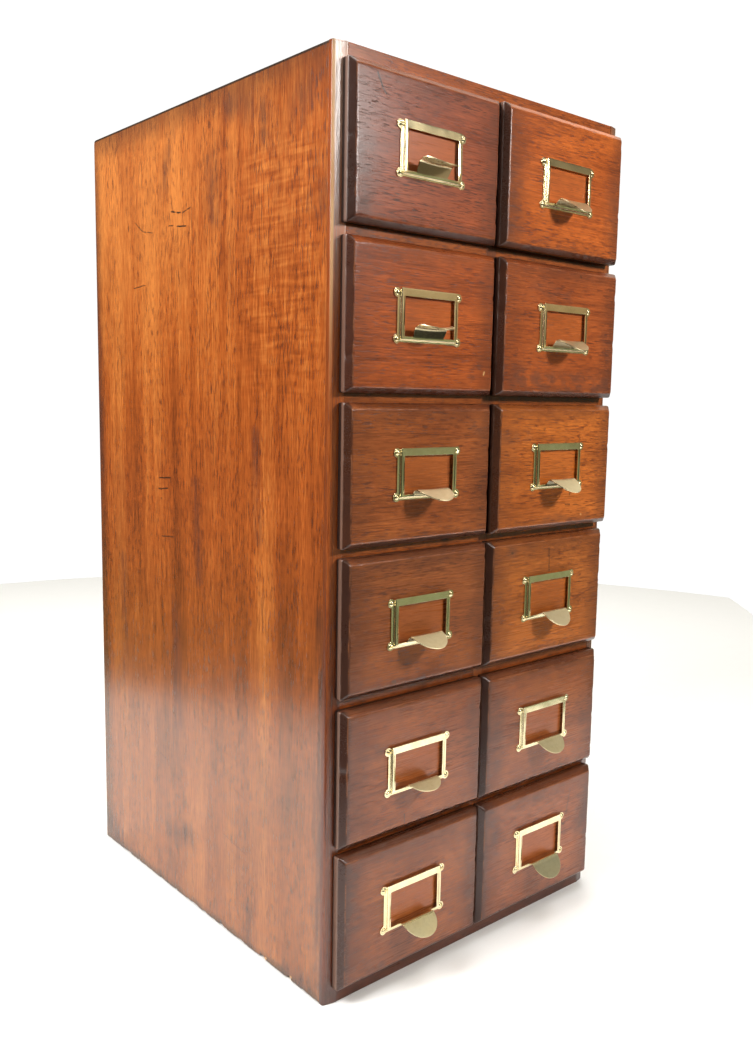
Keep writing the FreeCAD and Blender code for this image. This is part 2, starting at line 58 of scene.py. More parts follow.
# ---------------------------------------------------------------- node trees
class Tree:
    """A material's node tree, written as expressions."""

    def __init__(self, name):
        self.mat = bpy.data.materials.new(name)
        self.mat.use_nodes = True
        self.nt = self.mat.node_tree
        self.nt.nodes.clear()
        self.out = self.nt.nodes.new("ShaderNodeOutputMaterial")
        self.bsdf = self.nt.nodes.new("ShaderNodeBsdfPrincipled")
        self.nt.links.new(self.bsdf.outputs[0], self.out.inputs["Surface"])
        self.coord = self.nt.nodes.new("ShaderNodeTexCoord").outputs["Object"]
        self._xyz = None

    def put(self, socket, value):
        if isinstance(value, bpy.types.NodeSocket):
            self.nt.links.new(value, socket)
        elif value is not None:
            socket.default_value = value

    def math(self, op, a, b=None, c=None, clamp=False):
        n = self.nt.nodes.new("ShaderNodeMath")
        n.operation, n.use_clamp = op, clamp
        for i, v in enumerate((a, b, c)):
            self.put(n.inputs[i], v)
        return n.outputs[0]

    def add(self, a, b):
        return self.math("ADD", a, b)

    def sub(self, a, b):
        return self.math("SUBTRACT", a, b)

    def mul(self, a, b):
        return self.math("MULTIPLY", a, b)

    def vec(self, op, a, b=None, scale=None):
        n = self.nt.nodes.new("ShaderNodeVectorMath")
        n.operation = op
        self.put(n.inputs[0], a)
        if b is not None:
            self.put(n.inputs[1], b)
        if scale is not None:
            self.put(n.inputs["Scale"], scale)
        return n.outputs["Value"] if op in ("LENGTH", "DOT_PRODUCT", "DISTANCE") else n.outputs["Vector"]

    def xyz(self):
        if self._xyz is None:
            n = self.nt.nodes.new("ShaderNodeSeparateXYZ")
            self.put(n.inputs[0], self.coord)
            self._xyz = n.outputs[0], n.outputs[1], n.outputs[2]
        return self._xyz

    def join(self, x, y, z):
        n = self.nt.nodes.new("ShaderNodeCombineXYZ")
        for i, v in enumerate((x, y, z)):
            self.put(n.inputs[i], v)
        return n.outputs[0]

    def noise(self, vector, scale=1.0, detail=2.0, rough=0.5, dist=0.0, colour=False):
        n = self.nt.nodes.new("ShaderNodeTexNoise")
        self.put(n.inputs["Vector"], vector)
        n.inputs["Scale"].default_value = scale
        n.inputs["Detail"].default_value = detail
        n.inputs["Roughness"].default_value = rough
        n.inputs["Distortion"].default_value = dist
        return n.outputs[1 if colour else 0]

    def stretch(self, vector, scale, offset=(0, 0, 0)):
        n = self.nt.nodes.new("ShaderNodeMapping")
        self.put(n.inputs["Vector"], vector)
        n.inputs["Location"].default_value = offset
        n.inputs["Scale"].default_value = scale
        return n.outputs[0]

    def remap(self, v, a, b, c=0.0, d=1.0, smooth=True):
        n = self.nt.nodes.new("ShaderNodeMapRange")
        n.interpolation_type = "SMOOTHSTEP" if smooth else "LINEAR"
        n.clamp = True
        self.put(n.inputs[0], v)
        for i, x in enumerate((a, b, c, d)):
            self.put(n.inputs[i + 1], x)
        return n.outputs[0]

    def ramp(self, fac, stops):
        n = self.nt.nodes.new("ShaderNodeValToRGB")
        e = n.color_ramp.elements
        while len(e) < len(stops):
            e.new(0.5)
        for i, (pos, col) in enumerate(stops):
            e[i].position, e[i].color = pos, col
        self.put(n.inputs[0], fac)
        return n.outputs[0]

    def mix(self, fac, a, b, blend="MIX"):
        n = self.nt.nodes.new("ShaderNodeMix")
        n.data_type, n.blend_type = "RGBA", blend
        self.put(n.inputs[0], fac)
        self.put(n.inputs[6], a)
        self.put(n.inputs[7], b)
        return n.outputs[2]

    def bump(self, height, strength, distance, normal=None):
        n = self.nt.nodes.new("ShaderNodeBump")
        n.inputs["Strength"].default_value = strength
        n.inputs["Distance"].default_value = distance
        self.put(n.inputs["Height"], height)
        if normal is not None:
            self.put(n.inputs["Normal"], normal)
        return n.outputs[0]

    def most(self, values):
        out = values[0]
        for v in values[1:]:
            out = self.math("MAXIMUM", out, v)
        return out

    def segment(self, point, a, b, radius, soft=0.5):
        """1 on the line from a to b, falling to 0 at the radius. All in millimetres."""
        a, b = Vector(a), Vector(b)
        ab = b - a
        rel = self.vec("SUBTRACT", point, tuple(a))
        along = self.vec("DOT_PRODUCT", rel, tuple(ab / max(ab.length_squared, 1e-9)))
        along = self.math("MAXIMUM", self.math("MINIMUM", along, 1.0), 0.0)
        foot = self.vec("SCALE", tuple(ab), scale=along)
        gap = self.vec("LENGTH", self.vec("SUBTRACT", rel, foot))
        return self.remap(gap, radius * soft, radius, 1.0, 0.0)


# ---------------------------------------------------------------- wood
def axes(grain, along, across):
    return tuple(along if a == grain else across for a in "xyz")


def wood(name, grain, seed, stops, figure=None, streak=1.0, pores=0.6, cast=0.3, rough=0.24, shade=None,
         bump=0.16, lines=0.34, gloss=0.5, dashes=(125.0, 1050.0), fibres=(26.0, 620.0, 0.48), hairs=(90.0, 1500.0, 0.40),
         runs=(38.0, 460.0), bands=(5.0, 170.0)):
    """Polished open-grained hardwood. stops are the dark, middle and light colours. figure adds to the
    tone. shade returns extra layers: [(mask, colour, roughness change)]. dashes, fibres, hairs, runs and bands
    are how many to a metre along and across the grain, and for two of them how strong."""
    t = Tree(name)
    rnd = random.Random(seed)
    off = tuple(rnd.uniform(-9, 9) for _ in range(3))
    p = t.vec("ADD", t.coord, off)
    # boards wander: the grain is bent a little by a slow noise
    slow = t.noise(t.stretch(p, axes(grain, 1.6, 7.0)), detail=1.0, colour=True)
    p = t.vec("ADD", p, t.vec("SCALE", t.vec("SUBTRACT", slow, (0.5, 0.5, 0.5)), scale=0.014))
    broad = t.noise(t.stretch(p, axes(grain, 2.6, 24.0)), detail=3.0, rough=0.58)
    band = t.noise(t.stretch(p, axes(grain, *bands)), detail=3.0, rough=0.60)
    fibre = t.noise(t.stretch(p, axes(grain, *fibres[:2])), detail=2.0, rough=0.60)
    hair = t.noise(t.stretch(p, axes(grain, *hairs[:2])), detail=1.0)
    tone = t.add(t.mul(t.sub(broad, 0.5), 0.85 * streak), t.mul(t.sub(band, 0.5), 0.46 * streak))
    tone = t.add(tone, t.mul(t.sub(fibre, 0.5), fibres[2]))
    tone = t.add(tone, t.mul(t.sub(hair, 0.5), hairs[2]))
    if figure:
        tone = t.add(tone, figure(t))
    tone = t.add(tone, 0.5)
    dark, mid, light = stops
    colour = t.ramp(tone, [(0.08, dark), (0.48, mid), (0.90, light)])
    # older, darker areas
    cloud = t.noise(t.stretch(p, axes(grain, 11.0, 21.0)), detail=5.0, rough=0.62)
    cloud = t.mul(t.remap(cloud, 0.44, 0.68), cast)
    colour = t.mix(cloud, colour, (0.46, 0.33, 0.32, 1.0), "MULTIPLY")
    # single dark fibres, then pores: short dark dashes that lie along the grain
    line = t.noise(t.stretch(p, axes(grain, *runs), (3.1, 1.7, 4.4)), detail=3.0, rough=0.60)
    line = t.remap(line, 0.56, 0.70)
    colour = t.mix(t.mul(line, lines), colour, (0.40, 0.30, 0.26, 1.0), "MULTIPLY")
    fleck = t.noise(t.stretch(p, axes(grain, dashes[0] * 0.8, dashes[1] * 0.85), (8.3, 2.9, 6.1)), detail=1.0)
    colour = t.mix(t.mul(t.remap(fleck, 0.54, 0.68), 0.75 * pores), colour, (1.42, 1.34, 1.22, 1.0), "MULTIPLY")
    short = t.noise(t.stretch(p, axes(grain, *dashes)), detail=1.0)
    where = t.remap(t.noise(t.stretch(p, axes(grain, 9.0, 55.0)), detail=2.0), 0.32, 0.60)
    soft = t.mul(t.remap(short, 0.50, 0.64), t.add(t.mul(where, 0.6), 0.4))
    colour = t.mix(t.mul(soft, min(1.0, 1.4 * pores)), colour, (0.54, 0.40, 0.34, 1.0), "MULTIPLY")
    dash = t.mul(t.remap(short, 0.60, 0.69), where)
    colour = t.mix(t.mul(dash, pores), colour, (0.045, 0.013, 0.006, 1.0))
    roughness = t.add(t.mul(t.sub(fibre, 0.5), 0.05), rough)
    roughness = t.add(roughness, t.mul(dash, 0.12))
    smear = t.noise(t.stretch(p, axes(grain, 9.0, 16.0)), detail=3.0)
    roughness = t.add(roughness, t.mul(t.sub(smear, 0.5), 0.12))
    height = t.sub(t.mul(fibre, 0.3), t.add(t.mul(dash, 0.9), t.mul(line, 0.2)))
    for mask, paint, change in (shade(t) if shade else []):
        colour = t.mix(mask, colour, paint)
        roughness = t.add(roughness, t.mul(mask, change))
    waves = t.noise(t.stretch(p, axes(grain, 9.0, 30.0)), detail=1.0)
    normal = t.bump(waves, 0.22, 0.0008)
    normal = t.bump(height, bump, 0.00022, normal)
    t.put(t.bsdf.inputs["Base Color"], colour)
    t.put(t.bsdf.inputs["Roughness"], t.math("MAXIMUM", t.math("MINIMUM", roughness, 0.85), 0.12))
    t.put(t.bsdf.inputs["Normal"], normal)
    t.bsdf.inputs["Specular IOR Level"].default_value = gloss
    return t.mat


# painted shade: the near-black of the dark line along the side boards' top and bottom arrises
ARRIS_LINE_SHADE = (0.013, 0.0075, 0.0055, 1.0)
RAW = srgb(214, 168, 112)
SIDE_STOPS = ((0.150, 0.030, 0.006, 1.0), (0.420, 0.094, 0.0145, 1.0), (0.68, 0.222, 0.046, 1.0))


def edge_dirt_and_shade(t, lo, hi, sides, wobble=14.0):
    """Patina that fades in from the edges of a board; along the side boards' top and bottom arrises it carries painted
    shade. sides: [(axis, end, reach in mm, amount)].
    """
    mess = t.noise(t.coord, 60.0, 4.0, 0.6)
    masks = []
    for axis, end, solid, reach, amount in sides:
        v = t.xyz()["xyz".index(axis)]
        i = "xyz".index(axis)
        gap = t.sub(v, lo[i]) if end < 0 else t.sub(hi[i], v)
        gap = t.add(t.mul(gap, 1000.0), t.mul(t.sub(mess, 0.5), wobble * min(1.0, reach / 8)))
        masks.append(t.mul(t.remap(gap, solid, solid + reach, 1.0, 0.0), amount))
    return t.most(masks)


def side_wood(name, seed, lo, hi, marks):
    """The big side boards: vertical grain, rippled figure near the upper front, knocks, stains."""
    def figure(t):
        x, y, z = t.xyz()
        # the board is a lighter orange towards the top and the rear
        lift = t.mul(t.remap(z, 0.44, 0.70), t.add(t.mul(t.remap(y, -0.12, 0.14), 0.24), 0.10))
        lift = t.add(lift, t.remap(z, 0.30, 0.05, 0.0, 0.04))
        # wide bands that run the whole height
        bands = t.mul(t.sub(t.noise(t.stretch(t.coord, (1.0, 26.0, 0.9), (0.0, seed * 1.7, 0.0)), detail=2.0), 0.5), 0.55)
        m = t.mul(t.mul(t.remap(y, -0.055, -0.11), t.remap(y, -0.198, -0.165)),
                  t.mul(t.remap(z, 0.48, 0.56), t.remap(z, 0.725, 0.68)))
        wave = t.noise(t.stretch(t.coord, (1.0, 30.0, 236.0), (0.0, seed, 0.0)), detail=1.0, rough=0.4, dist=0.35)
        wave = t.mul(t.sub(wave, 0.53), t.add(t.mul(m, 0.64), 0.12))
        return t.add(t.add(lift, bands), wave)

    def shade(t):
        x, y, z = t.xyz()
        mm = t.join(0.0, t.mul(y, 1000.0), t.mul(z, 1000.0))
        shake = t.noise(t.coord, 190.0, 2.0, 0.5, colour=True)
        mm = t.vec("ADD", mm, t.vec("SCALE", t.vec("SUBTRACT", shake, (0.5, 0.5, 0.5)), scale=1.8))
        layers = [(edge_dirt_and_shade(t, lo, hi, [("z", 1, 2.0, 30, 0.58), ("y", 1, 1.0, 20, 0.55),
                                         ("z", -1, 0.4, 9, 0.70), ("y", -1, -3.0, 9, 0.30)]),
                   (0.075, 0.026, 0.014, 1.0), 0.03),
                  # painted shade: a dark line just inside the top and bottom arrises of the outer face
                  (t.mul(edge_dirt_and_shade(t, lo, hi, [("z", 1, 1.4, 1.3, 0.92), ("z", -1, 0.6, 1.2, 0.8)], 1.5),
                         t.remap(t.math("ABSOLUTE", x), HALF_W - 0.0022, HALF_W - 0.0012)), ARRIS_LINE_SHADE, 0.05),
                  # painted reflection: towards the bottom the board is tinted greener and less red, standing for the
                  # warm tint of the floor's reflection
                  (t.remap(z, 0.42, 0.16, 0.0, 0.28), (0.060, 0.080, 0.018, 1.0), 0.0)]
        if marks:
            smoke = t.most([t.segment(mm, (0, a, b), (0, c, d), r, 0.05) for a, b, c, d, r in marks["smoke"]])
            rag = t.remap(t.noise(t.stretch(t.coord, (1.0, 150.0, 18.0)), detail=4.0, rough=0.6), 0.30, 0.66)
            layers.append((t.mul(t.mul(smoke, rag), 0.66), (0.095, 0.030, 0.020, 1.0), 0.03))
            stain = t.most([t.segment(mm, (0, a, b), (0, c, d), r, 0.05) for a, b, c, d, r in marks["stains"]])
            layers.append((t.mul(t.mul(stain, rag), 0.72), (0.040, 0.017, 0.012, 1.0), 0.06))
            faint = t.most([t.segment(mm, (0, a, b), (0, c, d), r * 0.7, 0.2) for a, b, c, d, r in marks["faint"]])
            layers.append((t.mul(faint, 0.5), (0.06, 0.022, 0.012, 1.0), 0.1))
            knocks = t.most([t.segment(mm, (0, a, b), (0, c, d), r * 0.70) for a, b, c, d, r in marks["knocks"]])
            layers.append((t.mul(knocks, 0.94), (0.012, 0.004, 0.003, 1.0), 0.12))
            raw = t.most([t.segment(mm, (0, a, b), (0, c, d), r, 0.6) for a, b, c, d, r in marks["raw"]])
            layers.append((t.mul(raw, 0.9), RAW, 0.3))
        return layers

    return wood(name, "z", seed, SIDE_STOPS, figure=figure, pores=0.52, cast=0.34, rough=0.21, shade=shade, gloss=0.95, bump=0.28,
                lines=0.20, dashes=(105.0, 740.0), fibres=(44.0, 500.0, 0.44), hairs=(36.0, 760.0, 0.62),
                runs=(46.0, 460.0), bands=(1.8, 150.0))


LEFT_MARKS = {
    # y, z, y, z, half width, all in millimetres on the side's own face
    "knocks": [(41, 670, 34, 668.5, 1.1), (30, 667.5, 24, 667, 1.5), (20, 666.5, 6, 669.5, 0.9),
               (46, 657.5, 38, 657, 1.0), (30, 655.5, 14, 654, 1.4),
               (113, 668, 97, 658, 0.7), (97, 658, 78, 655, 0.7),
               (118, 605.5, 94, 607, 0.8),
               (70, 420, 48, 421.5, 1.2), (71, 409, 53, 411, 1.2), (66, 400.5, 65, 399.5, 1.2),
               (66, 362.5, 42, 364.5, 0.9),
               (126, 11, 126.4, -2, 0.8), (77, 8, 77, -2, 0.8), (45.3, 20, 45.6, -2, 0.9),
               (-40, 4, -46, -1, 1.6), (-108, 3, -116, -1, 1.6),
               (35, 102, 41, 103, 0.9), (-20, 104, -21, 102, 1.2), (-59, 34, -59, 32, 1.2)],
    "faint": [(75, 137, 58, 133.5, 1.0), (-63, 145, -86, 139, 1.3), (-46, 94, -86, 88, 1.2),
              (40, 560, 20, 500, 0.7), (-20, 546, -24, 470, 0.7), (-110, 330, -112, 300, 2.0)],
    "smoke": [(-196, 738, -160, 726, 24), (-60, 742, -110, 728, 20), (-30, 705, -36, 655, 15), (40, 735, 60, 690, 13),
              (-192, 660, -188, 640, 9), (-110, 712, -120, 700, 11), (203, 720, 200, 420, 13), (0, 420, -4, 330, 12),
              (-100, 470, -104, 380, 10), (40, 300, 36, 180, 14), (150, 330, 150, 200, 12)],
    "stains": [(200, 25, 160, 2, 26), (52, 60, 15, 68, 20), (-89, 35, -89, 4, 16), (52, 40, 60, 0, 10),
               (-180, 8, -150, 4, 16), (-194, 330, -193, 15, 12), (-196, 200, -196, 15, 9)],
    "raw": [(-110, 0.6, -117, 1.8, 1.3), (-150, 0.4, -155, 3.0, 1.2)],
}

RIGHT_MARKS = {
    "knocks": [(20, 610, 38, 612, 1.0), (-60, 500, -44, 499, 0.9), (90, 333, 92, 318, 0.8),
               (-120, 240, -104, 243, 1.0), (60, 12, 60, -2, 0.8), (-70, 9, -70, -2, 0.8),
               (140, 660, 128, 655, 0.8)],
    "faint": [(-20, 420, -70, 404, 0.9), (100, 150, 60, 141, 1.2), (20, 240, 10, 200, 0.8)],
    "smoke": [(60, 700, 20, 730, 22), (-120, 600, -124, 480, 14), (120, 430, 118, 300, 15), (-30, 250, -36, 120, 13),
              (-190, 720, -170, 660, 16)],
    "stains": [(200, 30, 150, 2, 24), (-120, 20, -60, 4, 15), (10, 720, 60, 745, 22), (-194, 300, -193, 15, 11)],
    "raw": [(-22, 0.6, -28, 1.8, 1.2)],
}


def front_wood(name, seed, lo, hi, tone, row, column, extra=None):
    """A drawer front: level grain, a dark left bevel, dirt that creeps in lower down."""
    creep = (1.0, 1.2, 1.8, 2.6, 6.0, 9.0)[row - 1]
    pale = (column, row) == ("left", 1)

    def shade(t):
        x, y, z = t.xyz()
        layers = []
        # behind the frame the polish is kept: fresher and more orange
        cx, cz = (lo.x + hi.x) / 2, (lo.z + hi.z) / 2
        gap = t.math("MAXIMUM", t.sub(t.math("ABSOLUTE", t.sub(x, cx)), 0.0268),
                     t.sub(t.math("ABSOLUTE", t.sub(z, cz + 0.0004)), 0.0149))
        fresh = 0.52 if (column, row) == ("left", 1) else 0.34
        layers.append((t.mul(t.remap(gap, -0.0008, 0.0004, 1.0, 0.0), fresh), srgb(188, 100, 42), 0.02))
        dirt = edge_dirt_and_shade(t, lo, hi, [
            ("x", -1, 3.4, 2.4, (0.76, 0.52, 0.56, 0.72, 0.72, 0.66)[row - 1]), ("z", -1, 3.0, 1.8, 0.62), ("x", 1, 2.0, 2.0, 0.50)], 1.2)
        creeping = edge_dirt_and_shade(t, lo, hi, [
            ("x", -1, 4.6, creep, 0.62), ("x", 1, 2.6, creep + 1.5, 0.50),
            ("z", -1, 3.4, 1.2 + creep * 0.4, 0.50), ("z", 1, -0.6, 1.6 + creep * 0.6, 0.34)], 7.0)
        old = edge_dirt_and_shade(t, lo, hi, [("x", -1, 4.0, 36, 0.38 if row in (2, 3) else 0.62), ("x", 1, 3.0, 32, 0.62),
                                    ("z", 1, 2.0, 22, 0.22 if (column, row) == ("right", 1) else 0.50),
                                    ("z", -1, 1.0, 15, 0.42)], 26.0)
        layers.append((old, (0.085, 0.025, 0.013, 1.0), 0.0))
        depth = t.mul(t.sub(y, lo.y), 1000.0)
        layers.append((creeping, (0.040, 0.019, 0.015, 1.0), 0.02))
        layers.append((t.mul(dirt, t.remap(depth, 4.0, 5.4, 1.0, 0.35)), (0.034, 0.014, 0.010, 1.0), 0.0))
        # the flat edge is greyed by handling; on the top left front it is paler still, a painted highlight
        grey = t.mul(t.remap(depth, 4.6, 5.4), t.remap(t.sub(x, lo.x), 0.0006, 0.0012, 1.0, 0.0))
        layers.append((t.mul(grey, 0.55), srgb(158, 130, 118) if pale else srgb(138, 110, 96), 0.04))
        # painted shadow: where the flat edge meets the carcass it is painted near-black, standing for the dark gap
        # behind the front
        gap_shadow_width = (2.6, 2.0, 3.0, 1.8, 2.6, 0.8)[row - 1]
        layers.append((t.mul(t.remap(depth, 10.4 - gap_shadow_width, 11.0 - gap_shadow_width), 0.93), (0.010, 0.004, 0.003, 1.0), 0.1))
        # the arris of the face is rubbed paler, and painted lighter as a highlight line
        gap = t.math("MINIMUM", t.sub(x, lo.x), t.sub(hi.x, x))
        gap = t.math("MINIMUM", gap, t.math("MINIMUM", t.sub(z, lo.z), t.sub(hi.z, z)))
        line = t.math("ABSOLUTE", t.sub(t.mul(gap, 1000.0), 4.8))
        rub_and_highlight = t.mul(t.remap(line, 0.15, 0.75, 1.0, 0.0), t.remap(t.noise(t.coord, 90.0, 3.0), 0.38, 0.62))
        layers.append((t.mul(rub_and_highlight, 0.34), srgb(186, 122, 84), -0.05))
        if extra:
            mm = t.join(t.mul(x, 1000.0), 0.0, t.mul(z, 1000.0))
            shake = t.noise(t.coord, 210.0, 2.0, 0.5, colour=True)
            mm = t.vec("ADD", mm, t.vec("SCALE", t.vec("SUBTRACT", shake, (0.5, 0.5, 0.5)), scale=1.4))
            rag = t.remap(t.noise(t.stretch(t.coord, (70.0, 120.0, 150.0)), detail=3.0, rough=0.6), 0.34, 0.62)
            for (a, b, c, d, r), amount, paint, soft in extra:
                m = t.segment(mm, (a, 0, b), (c, 0, d), r if r > 3 else r * 0.75, soft)
                if r > 3:
                    m = t.mul(m, rag)
                layers.append((t.mul(m, amount), paint, 0.04))
        return layers

    return wood(name, "x", seed, tone, streak=0.9, pores=0.80 if pale else 0.54, cast=0.44, rough=0.27, shade=shade,
                lines=0.45 if pale else 0.30, bump=0.50 if pale else 0.26,
                dashes=(100.0, 1120.0), fibres=(26.0, 780.0, 0.44), hairs=(36.0, 1150.0, 0.56), runs=(28.0, 640.0))


# ---------------------------------------------------------------- other finishes
def brass(name, seed, dull=0.0, face=None, neck=0.0, blade=0.0, spot=None, matt_colour=(0.50, 0.345, 0.195, 1.0),
          brown=False):
    """face is where the front is, for a pull: its tongue, further out, is handled and duller. neck and blade say
    how dark the fold below the blade is and how matt the blade is. spot is the pull's middle and its tongue's
    middle and half width."""
    t = Tree(name)
    rnd = random.Random(seed)
    p = t.vec("ADD", t.coord, tuple(rnd.uniform(-5, 5) for _ in range(3)))
    cloud = t.noise(p, 95.0, 4.0, 0.62)
    spots = t.remap(t.noise(p, 420.0, 3.0, 0.6), 0.62, 0.76)
    hair = t.noise(t.stretch(p, (260.0, 260.0, 2600.0)), detail=2.0)
    hair2 = t.noise(t.stretch(p, (2400.0, 700.0, 240.0)), detail=2.0)
    colour = t.mix(t.remap(cloud, 0.35, 0.68), (0.88, 0.785, 0.51, 1.0), (0.80, 0.685, 0.41, 1.0))
    colour = t.mix(t.mul(spots, 0.10), colour, (0.26, 0.19, 0.09, 1.0))
    roughness = t.add(t.mul(cloud, 0.16), 0.07 + dull)
    roughness = t.add(roughness, t.mul(t.sub(hair, 0.5), 0.06))
    roughness = t.add(roughness, t.mul(spots, 0.06))
    if face is not None:
        out = t.remap(t.sub(face, t.xyz()[1]), 0.0072, 0.0115)
        freckle = t.remap(t.noise(p, 260.0, 4.0, 0.6), 0.44, 0.68)
        colour = t.mix(t.mul(out, t.add(t.mul(freckle, 0.16), 0.24)), colour, (0.36, 0.29, 0.15, 1.0))
        roughness = t.add(roughness, t.mul(out, t.add(t.mul(freckle, 0.05), 0.11)))
        cx, cz, mid, half = spot
        x, y, z = t.xyz()
        gap = t.sub(face, y)
        # painted shade: a dark line is painted down the crease of each upright bar
        crease = t.math("ABSOLUTE", t.sub(t.math("ABSOLUTE", t.sub(x, cx)), 0.0288))
        crease = t.mul(t.remap(crease, 0.0002, 0.0006, 1.0, 0.0), t.remap(gap, 0.0025, 0.0029))
        crease = t.mul(crease, t.remap(t.math("ABSOLUTE", t.sub(z, cz - 0.0003)), 0.0148, 0.0156, 1.0, 0.0))
        colour = t.mix(t.mul(crease, 0.62), colour, (0.10, 0.075, 0.034, 1.0))
        # the fold below the blade is darkened as tarnish and as a painted dark reflection; on three pulls it turns a
        # matt brown
        if neck:
            within = t.remap(t.math("ABSOLUTE", t.sub(x, mid)), half + 0.0002, half + 0.0009, 1.0, 0.0)
            fold = t.mul(t.mul(within, t.remap(z, cz - 0.0170, cz - 0.0162)), t.remap(gap, 0.0066, 0.0080, 1.0, 0.0))
            fold = t.mul(t.mul(fold, t.remap(gap, 0.0026, 0.0029)), t.remap(z, cz - 0.001, cz + 0.006, 1.0, 0.0))
            colour = t.mix(t.mul(fold, neck), colour, (0.26, 0.175, 0.062, 1.0) if brown else (0.085, 0.066, 0.030, 1.0))
        metal = t.sub(1.0, t.mul(fold, 0.75)) if neck and brown else None
        if blade:
            # only its upper face is matt: the cut edge stays bright
            facing = t.nt.nodes.new("ShaderNodeSeparateXYZ")
            t.put(facing.inputs[0], t.nt.nodes.new("ShaderNodeNewGeometry").outputs["Normal"])
            matt = t.mul(t.mul(out, blade), t.remap(facing.outputs[2], 0.45, 0.70))
            colour = t.mix(matt, colour, matt_colour)
            roughness = t.add(roughness, t.mul(matt, 0.30))
            bare = t.sub(1.0, t.mul(matt, 0.85))
            t.put(t.bsdf.inputs["Metallic"], bare if metal is None else t.math("MINIMUM", bare, metal))
    waves = t.noise(p, 62.0, 2.0)
    normal = t.bump(waves, 0.15, 0.0010)
    normal = t.bump(t.add(hair, hair2), 0.02, 0.00012, normal)
    t.put(t.bsdf.inputs["Base Color"], colour)
    t.put(t.bsdf.inputs["Roughness"], t.math("MAXIMUM", roughness, 0.06))
    t.put(t.bsdf.inputs["Normal"], normal)
    if not blade:
        t.bsdf.inputs["Metallic"].default_value = 1.0
    return t.mat


def bare_wood(name, grain, seed, stops, rough=0.62):
    def shade(t):
        dust = t.remap(t.noise(t.coord, 34.0, 5.0, 0.6), 0.50, 0.72)
        return [(t.mul(dust, 0.30), (0.10, 0.055, 0.030, 1.0), 0.05)]
    return wood(name, grain, seed, stops, streak=0.8, pores=0.35, cast=0.12, rough=rough, shade=shade,
                bump=0.5, lines=0.25)


# ---------------------------------------------------------------- meshes
def piece(name, mesh, body, slot, *replaced):
    o = bpy.data.objects.new(name, mesh)
    scene.collection.objects.link(o)
    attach(o, body)
    if replaced:
        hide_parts(*replaced)
    return o


def clean_copy(node):
    """The node's own solid as a bmesh with one face to each flat side."""
    bm = bmesh.new()
    bm.from_mesh(nodes[node].data)
    bmesh.ops.remove_doubles(bm, verts=bm.verts, dist=2e-6)
    bmesh.ops.dissolve_limit(bm, angle_limit=math.radians(1.0), verts=bm.verts, edges=bm.edges)
    bmesh.ops.recalc_face_normals(bm, faces=bm.faces)
    return bm


def round_edges(bm, pick, offset, segments=3):
    edges = [e for e in bm.edges if len(e.link_faces) == 2 and e.calc_face_angle(0) > math.radians(15)
             and pick(e, (e.verts[0].co + e.verts[1].co) / 2)]
    if edges:
        bmesh.ops.bevel(bm, geom=edges, offset=offset, offset_type="OFFSET", segments=segments,
                        profile=0.5, affect="EDGES", clamp_overlap=True)


def to_mesh(bm, name):
    mesh = bpy.data.meshes.new(name)
    for f in bm.faces:
        f.smooth = True
    bm.to_mesh(mesh)
    bm.free()
    return mesh


def even_normals(o):
    m = o.modifiers.new("even_normals", "WEIGHTED_NORMAL")
    m.weight, m.keep_sharp = 60, True


def soften(node, width=0.0003, segments=2):
    """Small rounded edges on a kept CAD board."""
    o = nodes[node]
    w = o.modifiers.new("weld", "WELD")
    w.merge_threshold = 2e-6
    b = o.modifiers.new("edges", "BEVEL")
    b.width, b.segments, b.limit_method, b.angle_limit = width, segments, "ANGLE", math.radians(35)
    b.use_clamp_overlap = True
    even_normals(o)


def paint(o, mat):
    o.data.materials.clear()
    o.data.materials.append(mat)


# ---------------------------------------------------------------- camera
def make_camera():
    forward = Vector((0.64804, 0.75071, -0.12837)).normalized()
    right = Vector((0.75834, -0.65163, 0.01747))
    right = (right - forward * right.dot(forward)).normalized()
    up = right.cross(forward)
    data = bpy.data.cameras.new("camera")
    data.sensor_width, data.lens = 36.0, 33.4
    o = bpy.data.objects.new("camera", data)
    m = Matrix((right, up, -forward)).transposed().to_4x4()
    m.translation = Vector((-0.6314, -0.7897, 0.5032))
    o.matrix_world = m
    scene.collection.objects.link(o)
    scene.camera = o


make_camera()

# ---------------------------------------------------------------- carcass
HALF_W, HALF_D, TALL = 0.173, 0.203, 0.762
TINY = 2e-4


def near(a, b):
    return abs(a - b) < TINY


